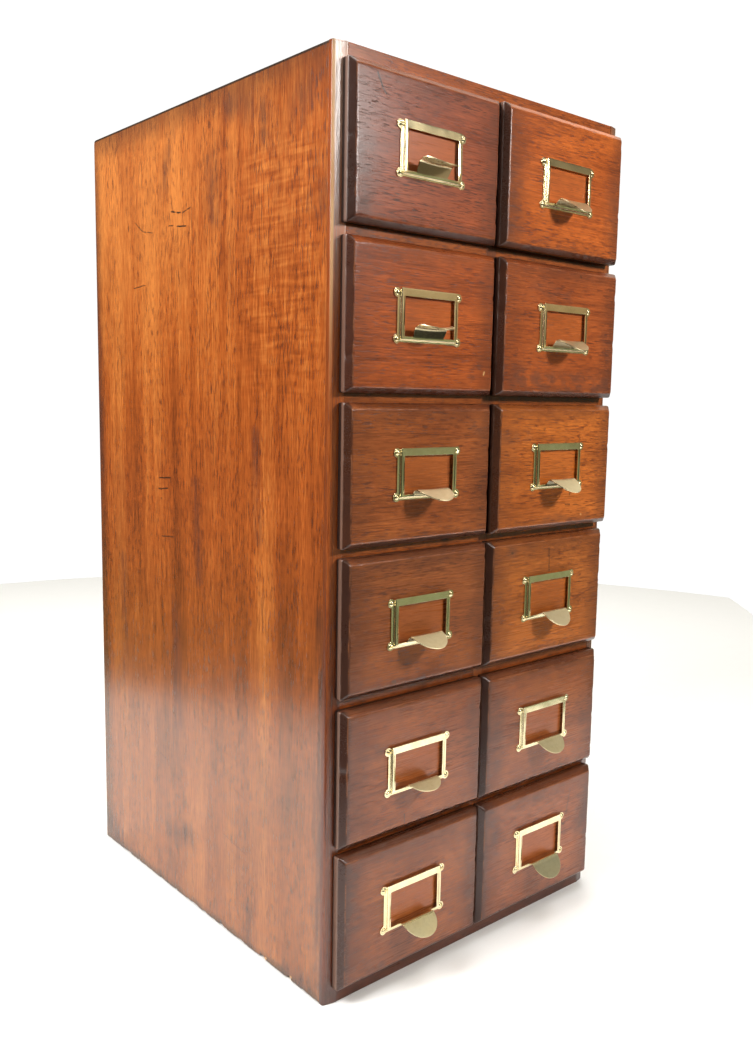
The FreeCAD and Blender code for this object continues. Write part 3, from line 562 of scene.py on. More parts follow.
def make_side(node, sign, marks, seed):
    bm = clean_copy(node)
    lo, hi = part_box(node)
    out = sign * HALF_W
    round_edges(bm, lambda e, m: near(m.y, HALF_D) and near(m.z, TALL), 0.0042, 4)
    round_edges(bm, lambda e, m: near(m.x, out) and near(m.z, TALL), 0.0016)
    round_edges(bm, lambda e, m: near(m.x, out) and near(m.y, HALF_D), 0.0016)
    round_edges(bm, lambda e, m: near(m.x, out) and near(m.y, lo.y), 0.00022, 2)
    bmesh.ops.bisect_plane(bm, geom=bm.verts[:] + bm.edges[:] + bm.faces[:], dist=1e-6, plane_co=(0, 0, 0.008),
                           plane_no=(0, 0, 1))
    # the foot of the board is knocked about: small splinters are gone from its lower edge
    foot = [e for e in bm.edges if near(e.verts[0].co.x, out) and near(e.verts[1].co.x, out)
            and near(e.verts[0].co.z, 0) and near(e.verts[1].co.z, 0)]
    bmesh.ops.bevel(bm, geom=foot, offset=0.0009, offset_type="OFFSET", segments=2, profile=0.5, affect="EDGES")
    runs = [e for e in bm.edges if e.calc_length() > 0.2 and max(v.co.z for v in e.verts) < 0.0012
            and min(abs(v.co.x) for v in e.verts) > HALF_W - 0.0012]
    bmesh.ops.subdivide_edges(bm, edges=runs, cuts=150, use_grid_fill=True)
    chips = [(-0.111, 0.006, 0.0022), (-0.152, 0.004, 0.0026), (-0.042, 0.005, 0.0018), (0.076, 0.002, 0.0016),
             (0.126, 0.003, 0.0014), (0.045, 0.002, 0.0018), (0.150, 0.008, 0.0012), (-0.075, 0.008, 0.0010),
             (0.010, 0.006, 0.0010)]
    for v in bm.verts:
        if v.co.z < 0.0012 and abs(v.co.x) > HALF_W - 0.0012 and lo.y + 0.001 < v.co.y < hi.y - 0.001:
            n = noise.noise(Vector((seed, v.co.y * 130, 0.0))) + 0.6 * noise.noise(Vector((seed, v.co.y * 420, 3.0)))
            up = max(0.0, n) * 0.0011
            for y, w, h in chips:
                up = max(up, h * max(0.0, 1 - abs(v.co.y * sign * -1 - y) / w) ** 0.7)
            v.co.z += up * 0.9
            v.co.x -= sign * up * 0.45
    o = piece(node.replace("_", "-") + "-board", to_mesh(bm, node + "_board"), "carcass", "side_wood", node)
    even_normals(o)
    paint(o, side_wood(node + "_wood", seed, lo, hi, marks))


make_side("left_side", -1, LEFT_MARKS, 11)
make_side("right_side", 1, RIGHT_MARKS, 23)


def lipping_wood(name, seed, lo, hi, stops, sign):
    def shade(t):
        x, y, z = t.xyz()
        # the outer arris is rubbed pale higher up, and painted lighter there as a highlight; darker lower down
        arris = t.mul(t.remap(t.mul(x, sign), HALF_W - 0.0030, HALF_W - 0.0016),
                      t.remap(t.sub(y, lo.y), 0.0028, 0.0040, 1.0, 0.0))
        patch = t.remap(t.noise(t.stretch(t.coord, (1.0, 1.0, 14.0)), detail=3.0), 0.30, 0.60, 0.55, 1.0)
        inner = t.remap(t.mul(x, sign), HALF_W - 0.0035, HALF_W - 0.0105)
        outside = t.remap(t.sub(y, lo.y), 0.0034, 0.0044)
        split = t.noise(t.stretch(t.coord, (1400.0, 1400.0, 26.0)), detail=2.0, rough=0.6)
        split = t.mul(t.remap(split, 0.60, 0.68), t.remap(z, 0.60, 0.30))
        # painted light: the inner part of the face, which the drawer fronts shade, is painted lighter
        return [(t.mul(t.mul(inner, patch), t.remap(z, 0.22, 0.40, 0.0, 0.40)), (0.62, 0.17, 0.040, 1.0), 0.0),
                (t.mul(outside, t.remap(z, 0.60, 0.52, 0.0, 0.45)), (0.12, 0.028, 0.010, 1.0), 0.0),
                # painted highlight: on the left strip the face is painted near-white towards its top
                (t.mul(t.mul(t.remap(t.sub(y, lo.y), 0.0023, 0.0032, 1.0, 0.0), patch),
                        t.add(t.remap(z, 0.55, 0.64, 0.0, 0.24), t.remap(z, 0.650, 0.722, 0.0, 0.56))) if sign < 0 else 0.0,
                 srgb(240, 206, 184), 0.0),
                # rubbed pale, and a painted highlight, on the outer arris, fading downward
                (t.mul(t.mul(arris, patch), t.remap(z, 0.46, 0.66, 0.0, 0.62)), srgb(246, 206, 150), 0.0),
                (t.remap(z, 0.50, 0.20, 0.0, 0.62), (0.060, 0.018, 0.012, 1.0), 0.10),
                (edge_dirt_and_shade(t, lo, hi, [("z", 1, 0.5, 12, 0.40), ("z", -1, 6.0, 34, 0.72)]), (0.05, 0.018, 0.012, 1), 0.03),
                (t.mul(split, 0.75), (0.030, 0.008, 0.006, 1.0), 0.1)]
    return wood(name, "z", seed, stops, streak=1.1, pores=0.5, cast=0.2, rough=0.20, shade=shade, gloss=0.8, dashes=(40.0, 1050.0))


def make_lipping(node, sign, seed, stops):
    """The strip on a side's front edge: its face is a little crowned and its outer arris well rounded."""
    lo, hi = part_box(node)
    inner, outer = (hi.x, lo.x) if sign < 0 else (lo.x, hi.x)
    # from the inner edge outwards, and back from the face, in millimetres
    turn = [(0.0, 0.0), (1.0, 0.02), (1.8, 0.14), (2.8, 0.36), (4.0, 0.64), (5.4, 0.96), (6.8, 1.28), (8.2, 1.60),
            (9.4, 1.88), (10.4, 2.14), (11.1, 2.38), (11.65, 2.70), (12.05, 3.08), (12.3, 3.50), (12.44, 3.96), (12.5, 4.5),
            (12.5, 7.0)]
    bm = bmesh.new()
    rings = []
    count = 96
    for j in range(count + 1):
        z = lo.z + (hi.z - lo.z) * j / count
        ring = []
        for i, (a, b) in enumerate(turn):
            n = noise.noise(Vector((i * 0.35, seed, z * 34))) + 0.6 * noise.noise(Vector((i * 0.8, seed + 5, z * 120)))
            wear = max(0.0, n) * (0.16 if 7.0 < a and b < 4.0 else 0.0)
            ring.append(bm.verts.new((inner + sign * (a - wear * 0.4) * MM, lo.y + (b + wear * 0.6) * MM, z)))
        ring.append(bm.verts.new((inner, hi.y, z)))
        rings.append(ring)
    for low, top in zip(rings, rings[1:]):
        for i in range(len(low)):
            k = (i + 1) % len(low)
            bm.faces.new((low[i], low[k], top[k], top[i]))
    bm.faces.new(rings[0])
    bm.faces.new(rings[-1][::-1])
    bmesh.ops.recalc_face_normals(bm, faces=bm.faces)
    hard = [e for e in bm.edges if len(e.link_faces) == 2 and e.calc_face_angle(0) > math.radians(40)]
    for e in hard:
        e.smooth = False
    o = piece(node.replace("_", "-") + "-strip", to_mesh(bm, node + "_strip"), "carcass", "lipping_wood", node)
    paint(o, lipping_wood(node + "_wood", seed, lo, hi, stops, sign))


make_lipping("left_lipping", -1, 30, ((0.10, 0.020, 0.006, 1), (0.36, 0.078, 0.015, 1), (0.55, 0.15, 0.032, 1)))
# painted shade: the right strip gets far darker stops than the left, standing for the shade it sits in
make_lipping("right_lipping", 1, 32, ((0.05, 0.012, 0.005, 1), (0.14, 0.034, 0.012, 1), (0.22, 0.062, 0.022, 1)))

lo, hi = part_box("top_panel")
soften("top_panel", 0.0006)


def top_shade(t):
    worn = t.remap(t.noise(t.coord, 11.0, 5.0, 0.6), 0.46, 0.72)
    rings = t.remap(t.noise(t.coord, 38.0, 3.0, 0.6), 0.62, 0.70)
    above = t.remap(t.xyz()[2], hi.z - 0.0004, hi.z - 0.0001)
    return [(t.mul(above, edge_dirt_and_shade(t, lo, hi, [("y", -1, 0.0, 14, 0.5), ("y", 1, 0.0, 14, 0.5)])), (0.05, 0.018, 0.012, 1), 0.03),
            (t.mul(worn, 0.30), (0.085, 0.030, 0.018, 1.0), 0.06), (t.mul(rings, 0.25), (0.035, 0.015, 0.012, 1.0), 0.06)]


paint(nodes["top_panel"], wood("top_panel_wood", "x", 47, ((0.14, 0.034, 0.009, 1), (0.40, 0.098, 0.020, 1), (0.56, 0.17, 0.042, 1)),
                               cast=0.3, rough=0.26, shade=top_shade))


def rail_shade(t):
    grime = t.remap(t.noise(t.coord, 55.0, 4.0, 0.6), 0.46, 0.70)
    return [(t.mul(grime, 0.50), (0.040, 0.014, 0.008, 1.0), 0.05)]


soften("front_rails", 0.0003)
paint(nodes["front_rails"], wood("rail_wood", "x", 53, ((0.10, 0.022, 0.006, 1), (0.33, 0.080, 0.017, 1), (0.48, 0.14, 0.034, 1)),
                                 cast=0.3, rough=0.24, shade=rail_shade))
soften("centre_partition", 0.0003)
paint(nodes["centre_partition"], wood("partition_wood", "z", 59, ((0.08, 0.020, 0.007, 1), (0.25, 0.064, 0.018, 1), (0.38, 0.12, 0.036, 1)),
                                      cast=0.3, rough=0.30, shade=rail_shade))
soften("bottom_panel", 0.0004)
paint(nodes["bottom_panel"], wood("bottom_wood", "x", 61, ((0.04, 0.012, 0.006, 1), (0.11, 0.030, 0.013, 1), (0.18, 0.054, 0.022, 1)),
                                  cast=0.3, rough=0.30, shade=rail_shade))
soften("drawer_runners", 0.0004)
paint(nodes["drawer_runners"], bare_wood("runner_wood", "y", 67, (srgb(120, 78, 46), srgb(166, 116, 74), srgb(194, 146, 98))))
soften("back_panel", 0.0004)


def back_shade(t):
    damp = t.remap(t.noise(t.coord, 9.0, 5.0, 0.6), 0.52, 0.70)
    scuff = t.remap(t.noise(t.stretch(t.coord, (60.0, 8.0, 22.0)), detail=4.0, rough=0.65), 0.60, 0.70)
    return [(t.mul(damp, 0.40), (0.060, 0.032, 0.020, 1.0), 0.05), (t.mul(scuff, 0.30), srgb(176, 132, 92), 0.1)]


paint(nodes["back_panel"], wood("back_ply", "z", 71, (srgb(98, 56, 32), srgb(140, 86, 50), srgb(172, 116, 74)), streak=0.9,
                                pores=0.45, cast=0.2, rough=0.58, shade=back_shade, bump=0.5))

TONGUES = {
    # neck out, neck up, blade out, blade drop, half width, shift, then how far the left edge, the right edge
    # and the tip are bent up, and how soft the crease is, all in millimetres
    ("left", 1): (4.5, 8.5, 19.0, 4.6, 17.5, -1.5, 3.4, 1.2, 0.0, 3.2),
    ("left", 2): (3.5, 7.4, 19.5, 2.2, 17.5, -1.5, 2.4, 2.6, 0.2, 2.6),
    ("left", 3): (3.4, 3.8, 19.6, 8.6, 17.5, -1.0, 0.6, 1.0, 0.4, 2.0),
    ("left", 4): (4.8, 4.9, 18.2, 8.9, 17.5, -1.0, 0.8, 1.0, 0.4, 1.4),
    ("left", 5): (6.0, 3.5, 13.5, 4.5, 16.5, -1.5, 1.0, 1.6, 0.5, 1.4),
    ("left", 6): (5.0, 1.5, 15.0, 10.5, 18.0, -0.5, 0.4, 0.4, 0.0, 1.0),
    ("right", 1): (5.0, 4.0, 17.0, 12.0, 17.0, -1.5, 1.0, 0.5, 0.0, 2.4),
    ("right", 2): (5.0, 5.8, 18.0, 9.6, 17.0, -1.5, 1.2, 0.4, 0.0, 3.0),
    ("right", 3): (4.6, 4.6, 18.2, 11.6, 17.0, -1.5, 0.8, 0.5, 0.4, 2.2),
    ("right", 4): (5.0, 2.5, 14.0, 12.0, 17.0, 0.5, 0.6, 0.6, 0.0, 1.4),
    ("right", 5): (5.0, 2.5, 13.5, 11.0, 17.0, 0.3, 0.6, 0.4, 0.0, 1.4),
    ("right", 6): (5.0, 1.5, 13.0, 14.0, 18.5, 0.5, 0.4, 0.4, 0.0, 1.0),
}
BRASS = {}
NECKS = {"left": (0.85, 0.60, 0.92, 0.85, 0.0, 0.0), "right": (0.75, 0.75, 0.90, 0.80, 0.0, 0.0)}
BLADES = {"left": (0.08, 0.10, 0.65, 0.58, 0.45, 0.30), "right": (0.06, 0.12, 0.50, 0.55, 0.45, 0.70)}
MATT = {("left", 4): (0.40, 0.31, 0.175, 1.0), ("left", 5): (0.32, 0.24, 0.115, 1.0), ("left", 6): (0.34, 0.28, 0.13, 1.0),
        ("right", 3): (0.56, 0.48, 0.28, 1.0), ("right", 4): (0.36, 0.27, 0.155, 1.0), ("right", 5): (0.22, 0.175, 0.075, 1.0),
        ("right", 6): (0.060, 0.066, 0.024, 1.0)}


def tongue_spot(column, row):
    a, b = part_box(f"{column}_drawer_{row}_pull_screws")
    half, shift = TONGUES[column, row][4:6]
    return (a.x + b.x) / 2, (a.z + b.z) / 2, (a.x + b.x) / 2 + shift * MM, half * 0.94 * MM


for column in COLUMNS:
    for row in ROWS:
        BRASS[column, row] = brass(f"{column}_brass_{row}", 100 + 10 * row + (column == "right"), 0.02 * (row % 3),
                                   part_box(f"{column}_drawer_{row}_front")[0].y, NECKS[column][row - 1], BLADES[column][row - 1], tongue_spot(column, row),
                                   MATT.get((column, row), (0.50, 0.345, 0.195, 1.0)),
                                   (column, row) in (("left", 1), ("right", 1), ("right", 2)))

soften("back_panel_screws", 0.00015)
paint(nodes["back_panel_screws"], brass("back_screw_brass", 5, 0.22))

# ---------------------------------------------------------------- drawer fronts
MIDDLES = {
    ("left", 1): (134, 66, 38), ("right", 1): (178, 92, 38), ("left", 2): (163, 81, 38), ("right", 2): (148, 74, 35),
    ("left", 3): (150, 83, 44), ("right", 3): (175, 97, 41), ("left", 4): (136, 77, 44), ("right", 4): (161, 92, 43),
    ("left", 5): (139, 78, 45), ("right", 5): (138, 78, 45), ("left", 6): (140, 80, 46), ("right", 6): (138, 78, 47),
}
TONES = {key: (srgb(r * 0.56, g * 0.48, b * 0.48), srgb(r * 1.05, g * 1.03, b * 0.97), srgb(r * 1.24, g * 1.28, b * 1.20))
         for key, (r, g, b) in MIDDLES.items()}
BLACK = (0.020, 0.009, 0.006, 1.0)
SMOKE = (0.055, 0.032, 0.028, 1.0)
# x, z, x, z, half width in millimetres, then how strong, what colour and how hard the edge is
KNOCKS = {
    ("left", 1): [((-141, 742, -136, 733, 1.8), 0.95, BLACK, 0.3), ((-136, 733, -132.5, 729, 1.6), 0.85, BLACK, 0.3),
                  ((-131, 688, -130, 687, 1.2), 0.5, BLACK, 0.3), ((-155, 690, -155, 650, 22), 0.35, SMOKE, 0.05)],
    ("right", 1): [((10, 690, 10, 650, 20), 0.35, SMOKE, 0.05), ((150, 700, 150, 660, 18), 0.25, SMOKE, 0.05)],
    ("left", 2): [((-16, 525, -17, 523, 1.4), 0.8, RAW, 0.4), ((-24, 530, -30, 522, 9), 0.5, SMOKE, 0.05)],
    ("right", 2): [((105, 616, 106, 615, 2.0), 0.7, BLACK, 0.3), ((40, 600, 90, 596, 12), 0.3, SMOKE, 0.05),
                   ((150, 560, 150, 540, 16), 0.3, SMOKE, 0.05), ((24, 520, 146, 517, 20), 0.55, SMOKE, 0.05)],
    ("left", 3): [((-16, 408, -15.5, 407, 1.2), 0.9, BLACK, 0.4), ((-26, 480, -14, 476, 10), 0.45, SMOKE, 0.05)],
    ("right", 3): [((97, 405, 104, 404.6, 0.9), 0.8, BLACK, 0.4), ((109, 404.5, 117, 403.6, 0.7), 0.7, BLACK, 0.4),
                   ((104, 418, 103, 414, 1.4), 0.75, BLACK, 0.3), ((63.5, 477, 63, 475, 1.2), 0.7, BLACK, 0.3),
                   ((114, 462, 114, 472, 1.0), 0.5, BLACK, 0.3), ((121, 394, 122, 394, 1.6), 0.5, RAW, 0.4),
                   ((70, 393, 130, 391, 9), 0.35, SMOKE, 0.05), ((10, 470, 40, 472, 12), 0.35, SMOKE, 0.05)],
    ("left", 4): [((-51, 363, -44, 362, 1.5), 0.5, BLACK, 0.2), ((-114, 270, -111, 270, 2.6), 0.7, SMOKE, 0.3),
                  ((-86, 267.5, -78, 267.5, 3.0), 0.7, SMOKE, 0.3), ((-108, 294, -107, 292, 1.6), 0.6, BLACK, 0.3),
                  ((-60, 283, -60, 282, 1.3), 0.7, BLACK, 0.3)],
    ("right", 4): [((28.5, 364.5, 29.5, 364, 2.0), 0.8, BLACK, 0.4), ((80.5, 364, 82, 343, 2.2), 0.5, BLACK, 0.05),
                   ((103, 272, 99, 265, 0.8), 0.7, BLACK, 0.4), ((34, 362, 26, 366, 9), 0.45, SMOKE, 0.05),
                   ((104, 338, 105, 337, 1.5), 0.6, BLACK, 0.3), ((14, 312, 15, 311, 1.6), 0.6, BLACK, 0.3)],
    ("left", 5): [((-97.5, 151.5, -97.3, 144, 0.9), 0.85, BLACK, 0.4), ((-97.4, 151, -99, 151.5, 0.8), 0.6, BLACK, 0.4),
                  ((-144, 204, -144, 203, 1.4), 0.7, BLACK, 0.3), ((-140, 215, -110, 212, 14), 0.35, SMOKE, 0.05),
                  ((-20, 232, -20, 200, 12), 0.40, SMOKE, 0.05)],
    ("right", 5): [((30, 143, 31, 143, 1.6), 0.7, BLACK, 0.3), ((18, 225, 18, 165, 14), 0.40, SMOKE, 0.05),
                   ((140, 200, 150, 180, 18), 0.35, SMOKE, 0.05)],
    ("left", 6): [((-135, 44.5, -134.5, 44, 1.5), 0.7, BLACK, 0.3), ((-152, 118, -152, 70, 13), 0.55, SMOKE, 0.05),
                  ((-14, 100, -14, 40, 12), 0.50, SMOKE, 0.05), ((-150, 30, -120, 24, 8), 0.30, SMOKE, 0.05)],
    ("right", 6): [((129, 114, 124, 90, 2.4), 0.6, SMOKE, 0.05), ((14, 120, 22, 80, 14), 0.50, SMOKE, 0.05),
                   ((150, 110, 152, 60, 16), 0.50, SMOKE, 0.05), ((116, 84, 121, 79, 1.6), 0.5, BLACK, 0.2),
                   ((40, 118, 90, 118, 8), 0.40, SMOKE, 0.05)],
}


def make_front(column, row):
    node = f"{column}_drawer_{row}_front"
    lo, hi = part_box(node)
    seed = 200 + row * 10 + (column == "right")
    rnd = random.Random(seed)
    bm = clean_copy(node)
    face, rim = lo.y, lo.y + 0.0047
    back = lo.y + 0.011

    def corner(e, m):
        a, b = e.verts[0].co, e.verts[1].co
        return m.y < back - TINY and abs(a.y - b.y) > 1e-4

    round_edges(bm, corner, 0.0016, 3)
    round_edges(bm, lambda e, m: near(m.y, face) and near(e.verts[0].co.y, face) or
                near(m.y, rim) and near(e.verts[0].co.y, rim), 0.0010, 3)
    flat = max((f for f in bm.faces if f.normal.y < -0.99), key=lambda f: f.calc_area())
    bmesh.ops.inset_region(bm, faces=[flat], thickness=0.0024, use_even_offset=True)
    # the field inside is a plain rectangle: each rounded corner of it closes to a point
    field = list(flat.verts)
    mid = flat.calc_center_bounds()
    for sx in (-1, 1):
        for sz in (-1, 1):
            cluster = [v for v in field if (v.co.x - mid.x) * sx > 0 and (v.co.z - mid.z) * sz > 0]
            spot = Vector((max((v.co.x for v in cluster), key=lambda c: c * sx), face,
                           max((v.co.z for v in cluster), key=lambda c: c * sz)))
            for v in cluster:
                v.co = spot
    bmesh.ops.remove_doubles(bm, verts=field, dist=1e-6)
    long = [e for e in bm.edges if e.calc_length() > 0.05 and max(v.co.y for v in e.verts) < back - TINY]
    bmesh.ops.subdivide_edges(bm, edges=long, cuts=44, use_grid_fill=True)
    bm.normal_update()
    # arrises are worn by hands and knocks
    dents = [(rnd.choice("lrtb"), rnd.uniform(0.06, 0.94), rnd.uniform(0.0015, 0.004), rnd.uniform(0.0003, 0.0008))
             for _ in range(9)]
    w, h = hi.x - lo.x, hi.z - lo.z
    for v in bm.verts:
        inside = min(v.co.x - lo.x, hi.x - v.co.x, v.co.z - lo.z, hi.z - v.co.z)
        if v.co.y > back - TINY or inside > 0.0058:
            continue
        n = noise.noise(v.co * 90 + Vector((seed, 0, 0))) + 0.5 * noise.noise(v.co * 260 + Vector((0, seed, 0)))
        on_arris = abs(v.normal.y) < 0.99 and (abs(v.co.y - face) < 0.0009 or abs(v.co.y - rim) < 0.0009)
        cut = max(0.0, n) * (0.00022 if on_arris else 0.00006)
        for side, at, wide, deep in dents:
            along = (v.co.z - lo.z) / h if side in "lr" else (v.co.x - lo.x) / w
            gap = {"l": v.co.x - lo.x, "r": hi.x - v.co.x, "b": v.co.z - lo.z, "t": hi.z - v.co.z}[side]
            if gap < 0.0065 and on_arris:
                far = abs(along - at) * (h if side in "lr" else w) / wide
                cut = max(cut, deep * max(0.0, 1 - far * far))
        v.co -= v.normal * cut
    o = piece(f"{column}-drawer-{row}-front-board", to_mesh(bm, node + "_board"), f"{column}_drawer_{row}", "front_wood", node)
    even_normals(o)
    paint(o, front_wood(node + "_wood", seed, lo, hi, TONES[column, row], row, column, KNOCKS.get((column, row))))


for column in COLUMNS:
    for row in ROWS:
        make_front(column, row)
        box_node = f"{column}_drawer_{row}_box"
        soften(box_node, 0.00035)
        shift = 2 * row + (column == "right")
        paint(nodes[box_node], bare_wood(box_node + "_wood", "y", 300 + shift,
                                         (srgb(118, 74, 44), srgb(166 - shift, 112 - shift, 70), srgb(198, 148, 98))))

# ---------------------------------------------------------------- pulls
WINDOW_X, WINDOW_TOP, WINDOW_LOW = 27.3, 15.3, -16.0
RIM_X, RIM_TOP, RIM_LOW = 30.8, 21.5, -18.6
FLANGE_LOW = -20.3
EAR_X, EAR_Z, EAR_R = 33.6, 17.9, 3.7
STAND, SHEET = 3.0, 1.0
FOLD = 0.96


def make_pull(column, row):
    node = f"{column}_drawer_{row}_pull"
    # the four screws sit evenly about the pull's middle
    screw_lo, screw_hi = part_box(node + "_screws")
    cx = (screw_lo.x + screw_hi.x) / 2
    cz = (screw_lo.z + screw_hi.z) / 2
    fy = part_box(f"{column}_drawer_{row}_front")[0].y
    neck_out, neck_up, blade_out, blade_drop, half, shift, curl_l, curl_r, tip, crease = TONGUES[column, row]
    bm = bmesh.new()
    known = {}

    def at(x, o, z):
        key = (round(x, 3), round(o, 3), round(z, 3))
        if key not in known:
            known[key] = bm.verts.new((cx + x * MM, fy - o * MM, cz + z * MM))
        return known[key]

    def quad(*points):
        return bm.faces.new([at(*q) for q in points])

    middle = 28.8

    def rim(x, z):
        """A point of the raised rim: the upright bars are a little crowned, the lower one leans out at its top."""
        o = STAND
        if WINDOW_LOW < z < WINDOW_TOP and abs(abs(x) - middle) < 0.1:
            o += 0.33
        if abs(z - WINDOW_LOW) < 0.1 and abs(x) < WINDOW_X + 0.1:
            o += 0.18 if abs(x) > WINDOW_X - 0.1 else 0.42
        return x, o, z

    n_u, n_v = 17, 9
    us = [-1 + 2 * i / (n_u - 1) for i in range(n_u)]
    root = 0.94
    tongue_xs = [shift + half * root * u for u in us]
    low_xs = [-RIM_X, -middle, -WINDOW_X, -22.4] + tongue_xs + [22.4, WINDOW_X, middle, RIM_X]
    side_zs = [RIM_LOW, WINDOW_LOW, -10.0, -3.4, 3.2, 9.4, WINDOW_TOP, 20.3]
    top_xs = [-RIM_X, -middle, -WINDOW_X, -20.0, -13.0, -6.5, 0.0, 6.5, 13.0, 20.0, WINDOW_X, middle, RIM_X]
    # the raised rim, its risers and the flange that lies on the wood
    for a, b in zip(low_xs, low_xs[1:]):
        quad(rim(a, RIM_LOW), rim(b, RIM_LOW), rim(b, WINDOW_LOW), rim(a, WINDOW_LOW))
        quad((a, SHEET, RIM_LOW), (b, SHEET, RIM_LOW), rim(b, RIM_LOW), rim(a, RIM_LOW))
        quad((a, SHEET, FLANGE_LOW), (b, SHEET, FLANGE_LOW), (b, SHEET, RIM_LOW), (a, SHEET, RIM_LOW))
    for a, b in zip(side_zs[1:-1], side_zs[2:-1]):
        for c, d in ((-RIM_X, -middle), (-middle, -WINDOW_X), (WINDOW_X, middle), (middle, RIM_X)):
            quad(rim(c, a), rim(d, a), rim(d, b), rim(c, b))
    for a, b in zip(top_xs, top_xs[1:]):
        quad(rim(a, WINDOW_TOP), rim(b, WINDOW_TOP), rim(b, 20.3), rim(a, 20.3))
        quad(rim(a, 20.3), rim(b, 20.3), rim(b, RIM_TOP), rim(a, RIM_TOP))
    for a, b in zip(side_zs, side_zs[1:]):
        quad((-RIM_X, SHEET, a), (-RIM_X, STAND, a), (-RIM_X, STAND, b), (-RIM_X, SHEET, b))
        quad((RIM_X, STAND, a), (RIM_X, SHEET, a), (RIM_X, SHEET, b), (RIM_X, STAND, b))
    for s in (-1, 1):
        ring = [(RIM_X, FLANGE_LOW)] + [(RIM_X, z) for z in side_zs]
        start = math.degrees(math.atan2(20.3 - EAR_Z, RIM_X - EAR_X))
        for i in range(1, 13):
            a = math.radians(start + (-90 - start) * i / 12)
            ring.append((EAR_X + EAR_R * math.cos(a), EAR_Z + EAR_R * math.sin(a)))
        for i in range(14):
            a = math.radians(90 - 224 * i / 13)
            ring.append((EAR_X + EAR_R * math.cos(a), -EAR_Z + EAR_R * math.sin(a)))
        points = [at(s * x, SHEET, z) for x, z in ring]
        bm.faces.new(points if s < 0 else points[::-1])
    # the tongue: a neck bent out of the window's lower edge, then a half-oval blade
    p0 = Vector((rim(0.0, WINDOW_LOW)[1], WINDOW_LOW))
    p1 = Vector((STAND + neck_out, WINDOW_LOW + neck_up))
    neck = p1 - p0
    slope = Vector((blade_out, -blade_drop))
    length = slope.length
    along, rise = slope.normalized(), Vector((blade_drop, blade_out)).normalized()
    rows = [[(x, *p0) for x in tongue_xs]]

    def spine(d):
        """The point this far along the bent strip, from its root; the crease is a soft curve."""
        if d < neck.length - crease:
            return p0 + neck.normalized() * d
        if d > neck.length + crease:
            return p1 + along * (d - neck.length)
        k = (d - neck.length + crease) / (2 * crease)
        a, c = p1 - neck.normalized() * crease, p1 + along * crease
        return a * (1 - k) ** 2 + p1 * (2 * k * (1 - k)) + c * k ** 2

    def bent(x):
        return (curl_l if x < 0 else curl_r) * abs(x) ** 2.2

    for k in (0.25, 0.48, 0.66, 0.80, 0.91, 1.0):
        line = []
        wide = root + (1 - root) * min(1.0, 1.5 * k) ** 0.6
        for u in us:
            q = spine(neck.length * k) + rise * (bent(u) * 0.25 * k * k)
            line.append((shift + half * wide * u, *q))
        rows.append(line)
    for j in range(1, n_v + 1):
        v = j / n_v
        line = []
        for u in us:
            x = u * math.sqrt(1 - v * v / 2)
            d = v * math.sqrt(1 - u * u / 2)
            up = bent(x) * min(1.0, 0.25 + 2.2 * d) + tip * d ** 2.4
            q = spine(neck.length + length * d) + rise * up
            line.append((shift + half * x, *q))
        rows.append(line)
    for below, above in zip(rows, rows[1:]):
        for i in range(n_u - 1):
            quad(below[i], below[i + 1], above[i + 1], above[i])
    bm.normal_update()
    # the upright bars have a crease down their middle
    for e in bm.edges:
        a, b = e.verts
        if all(abs(abs(v.co.x - cx) - middle * MM) < 1e-5 and v.co.z > cz + (WINDOW_LOW - 1) * MM for v in (a, b)) \
                and max(a.co.z, b.co.z) < cz + (WINDOW_TOP + 0.5) * MM and fy - max(a.co.y, b.co.y) > (STAND - 0.1) * MM:
            e.smooth = False
    # the folds of the sheet have a small radius
    folds = [e for e in bm.edges if len(e.link_faces) == 2 and e.calc_face_angle(0) > math.radians(44)
             and fy - max(v.co.y for v in e.verts) < (STAND + 0.6) * MM]
    bmesh.ops.bevel(bm, geom=folds, offset=FOLD * MM, offset_type="OFFSET", segments=4, profile=0.5, affect="EDGES",
                    clamp_overlap=False)
    bm.normal_update()
    # a thin hand-fitted pressing is never dead flat
    for v in bm.verts:
        if fy - v.co.y > 0.0016:
            v.co.y += 0.00022 * noise.noise(v.co * 55 + Vector((row * 7.0, 0, column == "left")))
        v.co.x += 0.00012 * noise.noise(v.co * 80 + Vector((0, row * 5.0, 3.0)))
    o = piece(f"{column}-drawer-{row}-pull-pressing", to_mesh(bm, node + "_pressing"), f"{column}_drawer_{row}", "brass", node)
    thick = o.modifiers.new("sheet", "SOLIDIFY")
    thick.thickness, thick.offset, thick.use_even_offset = FOLD * MM, -1.0, True
    edge = o.modifiers.new("edges", "BEVEL")
    edge.width, edge.segments, edge.limit_method, edge.angle_limit = 0.00018, 2, "ANGLE", math.radians(50)
    edge.use_clamp_overlap = False
    even_normals(o)
    paint(o, BRASS[column, row])
    return cx, fy, cz


